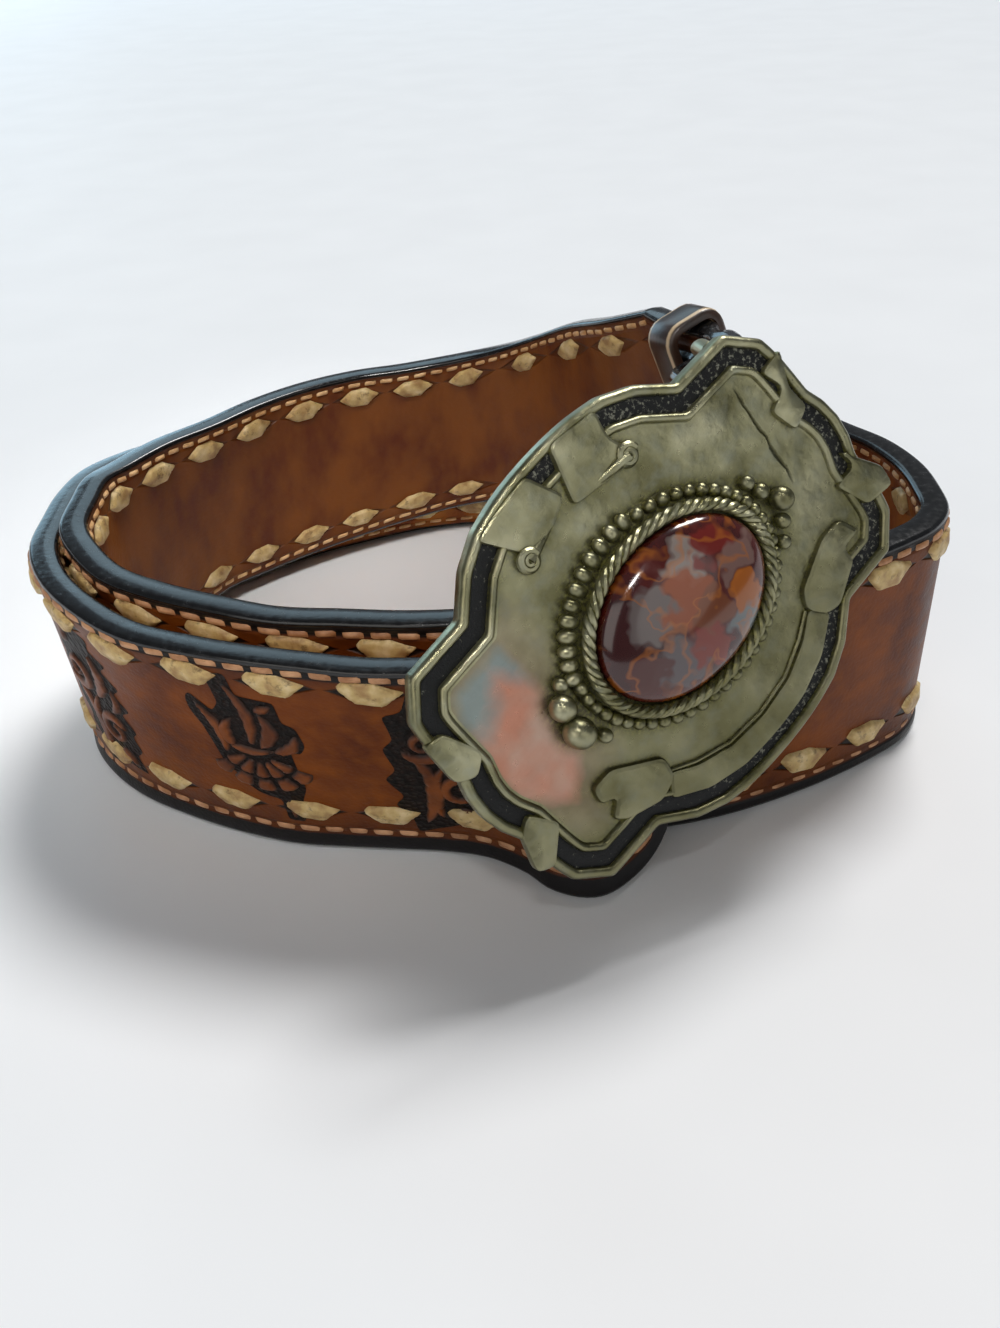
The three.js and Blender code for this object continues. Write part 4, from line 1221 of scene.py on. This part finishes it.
# Nickel silver, sand cast and worn by hand: greyish gold, softly scratched, green-black tarnish in
# its corners, and plating rubbed through to the copper at the left of the field
def cast_nickel_silver():
    material, tree = new_material("cast_nickel_silver")
    face = add(tree, "UVMap", uv_map="UVMap")
    worn = add(tree, "SeparateXYZ", [add(tree, "UVMap", uv_map="worn")]).node.outputs
    cloud = add(tree, "TexNoise", {"Vector": face, "Scale": 1 / 9.0, "Detail": 3.0})
    stain = add(tree, "TexNoise", {"Vector": face, "Scale": 1 / 2.4, "Detail": 5.0})
    ragged = {"Detail": 5.0, "Roughness": 0.65}
    pitting = add(tree, "TexNoise", {"Vector": face, "Scale": 1 / 0.5, **ragged})
    cool = add(tree, "MapRange", [stain, 0.48, 0.78, 0.0, 0.45])

    # The lower half is darker, with a cloudy border
    height = add(tree, "SeparateXYZ", [face], 1)
    darker_low = add(tree, "Math", [cloud, -22.0, height], operation="MULTIPLY_ADD")
    darker_low = add(tree, "MapRange", [darker_low, -30.0, -6.0, 0.6, 0.0])
    specks = add(tree, "MapRange", [pitting, 0.66, 0.74, 0.0, 0.7])

    # Rubbed patch: copper pink, and a bluish film in its upper part, both with a ragged border
    rubbed = add(tree, "Math", [stain, 1.6, worn[0]], operation="MULTIPLY_ADD")
    copper = add(tree, "MapRange", [rubbed, 0.2, 2.3])
    smoke = add(tree, "MapRange", [rubbed, -6.0, 0.6, 0.0, 0.6])
    film = add(tree, "Math", [stain, 2.4, worn[1]], operation="MULTIPLY_ADD")
    film = add(tree, "MapRange", [film, -0.6, 3.0])
    pink = add(tree, "ValToRGB", [cloud], stops=[(0.38, "#bd8570"), (0.62, "#b89a8a")])
    pink = add(tree, "Mix", {0: film, 6: pink, 7: "#8a9390"}, 2, data_type="RGBA")

    # A long crease runs down the right of the field, where the plate was once bent
    turned = {"Location": (-25.4, -8.4, 0.0), "Rotation": (0.0, 0.0, 0.091)}
    line = add(tree, "Mapping", {"Vector": face, **turned})
    line = add(tree, "SeparateXYZ", [line]).node.outputs
    beside = add(tree, "Math", [stain, 1.2, line[0]], operation="MULTIPLY_ADD")
    beside = add(tree, "Math", [beside, 0.6], operation="SUBTRACT")
    beside = add(tree, "Math", [beside], operation="ABSOLUTE")
    beside = add(tree, "MapRange", [beside, 0.08, 0.34, 1.0, 0.0])
    past = add(tree, "Math", [line[1]], operation="ABSOLUTE")
    past = add(tree, "MapRange", [past, 5.5, 8.0, 0.75, 0.0])
    crease = add(tree, "Math", [beside, past], operation="MULTIPLY")

    # Tarnish stays wherever a finger can't reach
    shelter = add(tree, "AmbientOcclusion", {"Distance": 2.2 * MM}, 1)
    hidden = add(tree, "MapRange", [shelter, 0.4, 0.97, 1.0, 0.0])
    green = add(tree, "ValToRGB", [pitting], stops=[(0.42, "#35321a"), (0.66, "#7d7b38")])
    dark = add(tree, "Math", [hidden, 0.92], operation="MULTIPLY")

    golds = [(0.36, "#737052"), (0.5, "#949172"), (0.64, "#b3af90")]
    tone = add(tree, "ValToRGB", [cloud], stops=golds)
    layers = (
        (cool, "#9ba095"), (darker_low, "#625f43"), (specks, "#5b583c"), (smoke, "#7d6c5a"),
        (copper, pink), (crease, "#45432a"), (dark, green),
    )
    for share, coat in layers:
        tone = add(tree, "Mix", {0: share, 6: tone, 7: coat}, 2, data_type="RGBA")

    drawn = {"Scale": (0.3, 5.0, 1.0), "Rotation": (0.0, 0.0, 0.4)}
    fine = add(tree, "Mapping", {"Vector": face, **drawn})
    scratches = {"Vector": fine, "Scale": 1.0, "Detail": 4.0, "Roughness": 0.7}
    scratches = add(tree, "TexNoise", scratches)
    rough = add(tree, "MapRange", [stain, 0.3, 0.75, 0.22, 0.38])
    normal = add(tree, "Bump", {"Height": scratches, "Strength": 0.35, "Distance": 0.12 * MM})
    for bumps, strength, depth in ((pitting, 0.22, 0.1), (stain, 0.55, 0.35), (cloud, 0.7, 0.8)):
        bumps = {"Height": bumps, "Strength": strength, "Distance": depth * MM}
        normal = add(tree, "Bump", {**bumps, "Normal": normal})
    bent = {"Height": crease, "Strength": 0.8, "Distance": 0.3 * MM, "Normal": normal}
    return finished(
        material,
        Base_Color=tone,
        Roughness=add(tree, "Math", [pitting, 0.08, rough], operation="MULTIPLY_ADD"),
        Metallic=add(tree, "MapRange", [hidden, 0.3, 1.0, 1.0, 0.35]),
        Normal=add(tree, "Bump", bent, invert=True),
    )


# Cold enamel: black resin poured into the channel and wiped flat, dull, with pale grit ground
# into it. The grit is about 0.2 mm; it is drawn at 0.6 mm, so that it shows
def cold_enamel():
    material, tree = new_material("black_cold_enamel")
    place = add(tree, "TexCoord", out=3)
    ragged = {"Detail": 4.0, "Roughness": 0.7}
    grit = add(tree, "TexNoise", {"Vector": place, "Scale": 1 / (0.6 * MM), **ragged})
    side = add(tree, "SeparateXYZ", [add(tree, "UVMap", uv_map="UVMap")])
    # The fill is ground more towards the plate's right end
    gritty = add(tree, "MapRange", [side, -20.0, 0.0, -0.09])
    grains = add(tree, "Math", [gritty, 0.09, grit], operation="MULTIPLY_ADD")
    return finished(
        material,
        Base_Color=add(tree, "ValToRGB", [grains], stops=[(0.63, "#0d0e0f"), (0.72, "#7b7b6e")]),
        Roughness=0.42,
        Specular_IOR_Level=0.3,
        Normal=add(tree, "Bump", {"Height": grit, "Strength": 0.7, "Distance": 0.25 * MM}),
    )


# Outline of the rubbed patch on the plate, and the corner of it that has the bluish film
COPPER_PATCH = [
    (-19.0, 14.4), (-28.0, 14.3), (-29.5, 11.5), (-31.5, 4.5), (-32.2, -2.8), (-26.1, -8.8),
    (-20.7, -4.0), (-19.2, 2.4), (-19.0, 7.3),
]
BLUE_FILM = [
    (-17.5, 15.5), (-30.0, 15.5), (-31.8, 9.8), (-27.8, 6.9), (-24.6, 9.4), (-22.3, 11.6),
    (-19.0, 7.3),
]
# Steps over the rims, from the back's edge to the sunk field: how far in, and how high
RIM_CORNER = 0.5
RIM_PROFILE = [
    (0.3, -PLATE_THICKNESS), (0.05, -2.35), (0.0, -0.75), (0.12, -0.28), (0.42, 0.02),
    (0.75, 0.12), (1.05, 0.04), (1.32, -0.16), (1.47, -0.45), (1.5, -1.45), (3.68, -1.45),
    (3.7, -0.45), (3.82, -0.05), (4.06, 0.2), (4.3, 0.25), (4.55, 0.16), (4.78, -0.12),
    (4.94, -0.48), (5.25, -0.5),
]
ENAMEL_PROFILE = [
    (1.45, -1.5), (1.45, -0.7), (1.75, -0.62), (2.6, -0.58), (3.45, -0.62), (3.74, -0.7),
    (3.74, -1.5),
]
# Ribbons of the plate, in millimetres to the right and up from its middle. Four wraps round the
# ends, two round the top with curled ends, and a banner along the bottom with forked tails
END_WRAPS = [
    [(32.9, -3.8), (33.3, -6.7), (29.5, -6.8), (31.5, -12.1), (36.2, -12.9), (36.6, -9.9)],
    [
        (30.8, 12.3), (32.0, 8.9), (28.7, 7.7), (29.9, 3.5), (33.2, 4.7), (32.7, 8.1),
        (34.9, 12.7),
    ],
    [(-32.2, 12.0), (-34.9, 12.6), (-35.4, 6.4), (-32.9, 4.8), (-30.2, 6.6)],
    [(-32.2, -4.1), (-34.5, -5.4), (-36.5, -10.4), (-34.3, -11.8), (-29.9, -8.1)],
]
TOP_WRAPS = [
    [(9.8, 25.7), (2.6, 26.8), (0.1, 19.4), (8.7, 17.8), (9.9, 19.9), (8.9, 22.0)],
    [(-2.7, 26.5), (-8.8, 26.1), (-12.1, 25.3), (-8.4, 19.2), (-3.9, 19.7), (-0.5, 21.3)],
]
CURLS = [((9.4, 18.6), (0.6, 19.4)), ((-9.3, 18.8), (-4.0, 19.7))]
BANNER_TAILS = [
    [
        (26.9, -10.4), (23.0, -10.1), (15.9, -13.2), (14.6, -15.8), (16.4, -18.6), (19.0, -19.4),
        (25.0, -16.2), (24.6, -13.9), (28.2, -13.8),
    ],
    [
        (-23.9, -8.6), (-24.6, -11.2), (-22.4, -12.2), (-24.9, -13.9), (-23.2, -15.8),
        (-18.1, -17.9), (-14.6, -17.0), (-13.9, -13.6), (-20.4, -8.6),
    ],
]
BANNER = [
    (-17.3, -18.7), (-12.2, -22.3), (-6.4, -24.2), (0.0, -24.7), (6.4, -24.2), (12.2, -22.3),
    (17.3, -18.7), (14.9, -15.7), (11.4, -18.3), (6.2, -20.4), (0.0, -21.1), (-6.2, -20.4),
    (-11.4, -18.3), (-14.9, -15.7),
]
BANNER_SEAM = [
    (-14.6, -15.9), (-11.2, -18.0), (-6.1, -20.1), (0.0, -20.8), (6.1, -20.1), (11.2, -18.0),
    (14.6, -15.9),
]
# Stone, with its middle to the right of the plate's, and what is soldered round it. The seat's
# steps say how far out from the stone, and how high
STONE_SHIFT = vec(0.9, -0.3, 0.0)
STONE_HALF = vec(13.9, 10.1)
STONE_GIRDLE = 2.1
STONE_RISE = 3.6
BEZEL_WALL = 0.8
SEAT_PROFILE = [
    (3.9, -0.7), (3.7, -0.2), (3.2, 0.05), (1.5, 0.1), (1.45, 1.7), (0.45, 1.9), (0.4, 0.3),
    (-6, 0.3),
]
ROPE_TURNS = 19
ROPE_LIFT = 2.1
ROPE_REACH = 0.47
ROPE_WIRE = 0.5
ROPE_SPREAD = 0.9
BEAD_COUNT = 50
BEAD_SIZE = 0.96
BEAD_SPREAD = 0.94
BEAD_LIFT = 0.42
# The beads at the upper left are larger, between two angles in degrees
LARGE_BEAD = 1.45
LARGE_FROM = 80
LARGE_TO = 165
# Balls at the stone's two ends: right, up and size
CLUSTERS = [
    (-20.9, -1.2, 2.1), (-20.2, 2.7, 1.75), (-18.6, -4.6, 1.0), (-18.2, 4.9, 1.0),
    (20.9, -1.1, 1.6), (19.4, 1.7, 1.1), (19.2, -3.6, 1.05), (18.6, 4.0, 1.0), (17.4, -5.8, 1.0),
]
BAIL_WIRE = 1.3
BAIL_FOOT_SHARE = 0.785
HOOK_SHARE = -0.77


def add_to_plate(bag, local, faces, shift=0.0):
    local = local + shift
    bag.add(on_plate(local), faces, local[:, :2])


def stepped(outline, profile):
    """A loft along an outline, through steps that say how far in, and how high."""
    loops = [at_height(rounded(inset(outline, away), RIM_CORNER), high) for away, high in profile]
    return loft(loops, cap=False)


def add_field(bag, outline):
    """The sunk field, gently waved and dented, with the distances inside its two worn patches."""
    points, faces, away = filled(outline, 1.0)
    u, v = points.T
    wave = 0.10 * np.sin(u * 0.21 + 1.0) * np.sin(v * 0.27 + 0.4)
    dent = -0.22 * np.exp(-((u + 25) ** 2 + (v - 2) ** 2) / 60.0)
    height = RIM_PROFILE[-1][1] + (wave + dent) * np.clip(away / 2.5, 0, 1)
    worn = [
        edge_distance(points, patch) * np.where(inside(points, np.array(patch)), 1, -1)
        for patch in (COPPER_PATCH, BLUE_FILM)
    ]
    bag.add(on_plate(at_height(points, height)), faces, points, np.stack(worn, 1))


def add_ribbon(bag, outline, rise, bow, foot, width, grow=1.0, step=0.5):
    """A flat ribbon with soft edges; bow lifts its middle."""
    outline = np.asarray(outline, float)
    x, y = outline.T
    if (x * np.roll(y, -1) - np.roll(x, -1) * y).sum() < 0:
        outline = outline[::-1]
    outline = outline.mean(0) + (outline - outline.mean(0)) * grow
    outline = resampled(rounded(outline, 1.0, 3), step)
    shoulder = [(0.03, rise - 0.6 * width), (0.3 * width, rise - 0.2 * width)]
    sides = [(0.0, foot), *shoulder, (width, rise)]
    loops = [at_height(inset(outline, away), height) for away, height in sides]
    add_to_plate(bag, *loft(loops, cap=False))
    points, faces, away = filled(inset(outline, width), step)
    swell = bow * np.clip(away / away.max(), 0, 1) ** 0.8
    ripple = 0.06 * np.sin(points[:, 0] * 1.1) * np.sin(points[:, 1] * 0.9) * np.clip(away, 0, 1)
    add_to_plate(bag, at_height(points, rise + swell + ripple), faces)


def add_curl(bag, spot, far):
    """The end of a top wrap: its corner rolls up into a snail, and thins out along the end."""
    spot, far = vec(*spot), vec(*far)
    roll = spot + (far - spot) * np.linspace(0, 0.9, 12)[:, None]
    roll = at_height(roll, np.linspace(0.3, -0.35, 12))
    add_to_plate(bag, *tube(roll, np.linspace(0.95, 0.4, 12), 12))
    turn = np.linspace(0, 3.6 * math.pi, 48)
    reach = (1.4 - 0.1 * turn)[:, None]
    snail = spot + reach * np.stack([np.cos(turn), np.sin(turn)], 1)
    snail = at_height(snail, 0.45 + 0.02 * turn)
    add_to_plate(bag, *tube(snail, np.linspace(0.55, 0.4, 48), 8))
    add_to_plate(bag, *ball(vec(*spot, 0.1), (1.7, 1.7, 0.6), 0.0, 16, 8))


def add_ribbons(bag):
    for outline in END_WRAPS:
        add_ribbon(bag, outline, 0.34, 0.25, -1.2, 0.5, 1.06)
    for outline, (spot, far) in zip(TOP_WRAPS, CURLS):
        add_ribbon(bag, outline, 0.4, 0.15, -0.75, 0.45, 1.06)
        add_curl(bag, spot, far)
    for outline in BANNER_TAILS:
        add_ribbon(bag, outline, 0.35, 0.25, -0.7, 0.7)
    add_ribbon(bag, BANNER, 0.28, 0.12, -0.7, 0.5)
    add_to_plate(bag, *tube(at_height(BANNER_SEAM, -0.32), 0.28, 8))


def circle(steps):
    angle = 2 * math.pi * np.arange(steps) / steps
    return angle, np.stack([np.cos(angle), np.sin(angle)], 1)


def add_bezel(bag):
    """The stone's seat and wall, and the rope of three twisted wires that lies on the wall."""
    ring = circle(72)[1]
    seat = [at_height(ring * (STONE_HALF + out), height) for out, height in SEAT_PROFILE]
    add_to_plate(bag, *loft(seat, cap=False), STONE_SHIFT)
    angle, ring = circle(380)
    half = STONE_HALF + (RUNNING_GAP + BEZEL_WALL)
    outward = unit(ring * half[::-1])
    for strand in range(3):
        twist = ROPE_TURNS * angle + strand * 2 * math.pi / 3
        path = ring * half + outward * (ROPE_REACH * np.cos(twist))[:, None]
        path = at_height(path, ROPE_LIFT + ROPE_REACH * np.sin(twist))
        add_to_plate(bag, *tube(path, ROPE_WIRE, 8, True), STONE_SHIFT)


def add_beads(bag):
    """The row of beads outside the rope, larger at the upper left, and the balls at both ends."""
    long, tall = STONE_HALF + (RUNNING_GAP + BEZEL_WALL + ROPE_SPREAD + BEAD_SPREAD)
    for index in range(BEAD_COUNT):
        angle = 2 * math.pi * (index + 0.5) / BEAD_COUNT
        outward = math.atan2(long * math.sin(angle), tall * math.cos(angle))
        size = BEAD_SIZE * rng.uniform(0.95, 1.05)
        grown = LARGE_BEAD if LARGE_FROM < math.degrees(angle) < LARGE_TO else 1.0
        push = (grown - 1) * 0.9
        u = long * math.cos(angle) + push * math.cos(outward)
        v = tall * math.sin(angle) + push * math.sin(outward)
        radii = (size * grown, size * 1.02, size * 1.02)
        add_to_plate(bag, *ball(vec(u, v, BEAD_LIFT), radii, outward), STONE_SHIFT)
    for u, v, size in CLUSTERS:
        radii = (size * 1.04, size * 1.12, size)
        add_to_plate(bag, *ball(vec(u, v, -0.5 + size * 0.75), radii, 0.4, 18, 12), STONE_SHIFT)


def add_bail(bag):
    """Wire on the back that the strap's end folds round: two legs, the bar and its two feet."""
    bar_u = BAIL_BAR_SHARE * PLATE_HALF_LENGTH
    foot_u = BAIL_FOOT_SHARE * PLATE_HALF_LENGTH
    half = FOLD_WIDTH / 2 + RUNNING_GAP + BAIL_WIRE
    leg = [
        vec(mixed(foot_u, bar_u, share), half, mixed(-2.0, -BAIL_DROP, share))
        for share in np.linspace(0, 1, 9)
    ]
    bar = [vec(bar_u, v, -BAIL_DROP) for v in np.linspace(half - 1.5, -half + 1.5, 12)]
    other_leg = [place * vec(1, -1, 1) for place in reversed(leg)]
    add_to_plate(bag, *tube(leg + bar + other_leg, BAIL_WIRE, 12))
    for way in (-1, 1):
        foot = vec(foot_u, way * half, -PLATE_THICKNESS)
        add_to_plate(bag, *ball(foot, (2.3, 2.3, 0.8), 0.0, 18, 8))


def add_hook(bag):
    """The round hook on the back, which goes through a hole of the strap."""
    hook_u = HOOK_SHARE * PLATE_HALF_LENGTH
    stem = [vec(hook_u, 0, w) for w in (-2.2, -3.5, -5.5, -7.4)]
    add_to_plate(bag, *tube(stem, [1.9, 1.5, 1.45, 1.6], 16))
    add_to_plate(bag, *ball(vec(hook_u, 0, -7.6), (1.9, 1.9, 1.8), 0.0, 16, 10))


def build_buckle():
    bag = Bag()
    outline = plate_outline()
    add_to_plate(bag, *stepped(outline, RIM_PROFILE))
    add_field(bag, rounded(inset(outline, RIM_PROFILE[-1][0]), RIM_CORNER))
    back = rounded(inset(outline, RIM_PROFILE[0][0]), RIM_CORNER)[::-1]
    points, faces = filled(back, 2.5)[:2]
    add_to_plate(bag, at_height(points, -PLATE_THICKNESS), faces)
    add_ribbons(bag)
    add_bezel(bag)
    add_beads(bag)
    add_bail(bag)
    add_hook(bag)
    thing = bag.make("cast_buckle", [cast_nickel_silver()], 38)
    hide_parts("buckle_plate")
    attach(thing, "root")


def build_enamel():
    points, faces = stepped(plate_outline(), ENAMEL_PROFILE)
    maps = {"UVMap": points[:, :2]}
    points = on_plate(points)
    thing = make_object("channel_fill", points, faces, [cold_enamel()], crease=40, uvs=maps)
    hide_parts("channel_enamel")
    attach(thing, "root")


build_buckle()
build_enamel()


# Jasper agate, cut and polished: glassy, deep red and maroon with milky grey and orange islands.
# Places are millimetres from the stone's middle; soft islands 2 to 5 mm across with torn borders
ISLANDS = [
    ((-9.6, 2.3), 4.6, "#330f0e"),
    ((-4.7, 4.0), 3.2, "#5f5553"),
    ((3.4, 5.8), 2.8, "#7b726c"),
    ((7.2, 4.6), 2.8, "#641a12"),
    ((10.0, 0.6), 3.0, "#6b514a"),
    ((7.4, -4.4), 2.4, "#94500f"),
    ((4.6, -7.2), 3.0, "#626a6c"),
    ((-6.2, -3.4), 3.6, "#554d4f"),
    ((0.6, 1.6), 3.6, "#823c12"),
    ((2.6, -1.8), 3.0, "#68371c"),
    ((-1.6, -5.0), 3.0, "#74230f"),
    ((-11.0, -2.2), 3.0, "#46160f"),
]


def polished_agate():
    material, tree = new_material("polished_red_agate")
    face = add(tree, "UVMap", uv_map="UVMap")
    soft = {"Detail": 2.0, "Roughness": 0.5}
    warp = add(tree, "TexNoise", {"Vector": face, "Scale": 1 / 4.6, **soft}, 1)
    warp = add(tree, "VectorMath", [warp, (0.5, 0.5, 0.5)], operation="SUBTRACT")
    warp = add(tree, "VectorMath", [warp, (11.0, 11.0, 0.0)], operation="MULTIPLY")
    where = add(tree, "VectorMath", [face, warp], operation="ADD")
    cloud = add(tree, "TexNoise", {"Vector": face, "Scale": 1 / 5.0, "Detail": 5.0})
    reds = [(0.36, "#2c0b0a"), (0.52, "#48130e"), (0.68, "#552d28")]
    tone = add(tree, "ValToRGB", [cloud], stops=reds)
    layers = []
    for (u, v), size, code in ISLANDS:
        middle = (u + STONE_SHIFT[0], v + STONE_SHIFT[1], 0.0)
        away = add(tree, "VectorMath", [where, middle], 1, operation="DISTANCE")
        share = add(tree, "MapRange", [away, size * 0.85, size * 1.12, 0.92, 0.0])
        layers.append((share, code))
    veins = add(tree, "TexNoise", {"Vector": where, "Scale": 1 / 9.0, "Detail": 2.0})
    veins = add(tree, "Math", [veins, 0.5], operation="SUBTRACT")
    veins = add(tree, "Math", [veins], operation="ABSOLUTE")
    layers.append((add(tree, "MapRange", [veins, 0.005, 0.03, 0.45, 0.0]), "#a05a16"))
    for share, code in layers:
        tone = add(tree, "Mix", {0: share, 6: tone, 7: code}, 2, data_type="RGBA")
    return finished(
        material,
        Base_Color=tone,
        Roughness=0.14,
        IOR=1.54,
        Normal=add(tree, "Bump", {"Height": cloud, "Strength": 0.12, "Distance": 0.12 * MM}),
        Coat_Weight=0.3,
        Coat_Roughness=0.05,
        Subsurface_Weight=0.03,
        Subsurface_Radius=(0.001, 0.0005, 0.0004),
    )


def build_stone():
    rows = [(0.985, 0.5), (1.0, 0.9), (1.0, STONE_GIRDLE)]
    for turn in np.radians(np.linspace(8, 86, 14)):
        rows.append((math.cos(turn), STONE_GIRDLE + STONE_RISE * math.sin(turn)))
    rows.append((0.02, STONE_GIRDLE + STONE_RISE))
    ring = circle(80)[1] * STONE_HALF
    points, faces = loft([at_height(ring * share, height) + STONE_SHIFT for share, height in rows])
    maps = {"UVMap": points[:, :2]}
    thing = make_object("domed_stone", on_plate(points), faces, [polished_agate()], uvs=maps)
    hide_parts("centre_stone")
    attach(thing, "root")


build_stone()


# Floor and light
def build_stage():
    half = 4.0
    corners = [(-half, -half), (half, -half), (half, half), (-half, half)]
    material, tree = new_material("matte_paper")
    place = add(tree, "TexCoord", out=3)
    fibre = add(tree, "TexNoise", {"Vector": place, "Scale": 1 / (40 * MM), "Detail": 2.0})
    paper = add(tree, "ValToRGB", [fibre], stops=[(0.3, "#eeeff1"), (0.7, "#f1f2f4")])
    finished(material, Base_Color=paper, Roughness=0.6, Specular_IOR_Level=0.15)
    # The floor lies a fifth of a millimetre down, clear of the strap's lower edge
    places = [(x, y, -0.2 * MM) for x, y in corners]
    floor = make_object("floor", places, [(0, 1, 2, 3)], [material], placed=True)
    world = bpy.data.worlds.new("studio")
    bpy.context.scene.world = world
    world.use_nodes = True
    shade = world.node_tree.nodes["Background"]
    shade.inputs[0].default_value = (0.86, 0.92, 1.0, 1.0)
    shade.inputs[1].default_value = 0.15
    bpy.context.scene.view_settings.view_transform = "Standard"


def lamp(name, kind, place, target, power, colour, **settings):
    data = bpy.data.lights.new(name, kind)
    data.energy = power
    data.color = colour
    for key, value in settings.items():
        setattr(data, key, value)
    thing = bpy.data.objects.new(name, data)
    bpy.context.scene.collection.objects.link(thing)
    thing.location = place
    aim = Vector(target) - Vector(place)
    thing.rotation_euler = aim.to_track_quat("-Z", "Y").to_euler()


build_stage()
MIDDLE = (0, 0, 0.02)
COIL_TOP = (-0.03, 0, 0.04)
COIL_FLOOR = (-0.03, 0.04, 0.015)
PLATE = (0.02, -0.05, 0.04)
SOFT_SUN = {"angle": math.radians(22)}
NARROW = {"spot_size": math.radians(13), "spot_blend": 1.0, "shadow_soft_size": 0.06}
ROUND = {"size": 1.2, "shape": "DISK"}
lamp("window_light", "SUN", (0.3, 0.5, 1.0), MIDDLE, 2.5, (1.0, 0.99, 0.975), **SOFT_SUN)
lamp("front_fill", "AREA", (-0.9, -1.5, 0.9), MIDDLE, 7.5, (1.0, 0.96, 0.9), size=1.3)
lamp("plate_softbox", "AREA", (1.0, -1.15, 0.6), PLATE, 2.6, (1.0, 1.0, 0.95), **ROUND)
lamp("back_sheen", "AREA", (-1.3, 2.3, 0.5), COIL_TOP, 9.0, (0.5, 0.8, 1.0), size=1.2)
lamp("top_sheen", "AREA", (-0.3, 1.9, 1.3), COIL_TOP, 4.5, (0.6, 0.85, 1.0), size=1.0)
lamp("coil_light", "SPOT", (-0.03, -0.36, 0.56), COIL_FLOOR, 16.0, (1.0, 0.98, 0.95), **NARROW)
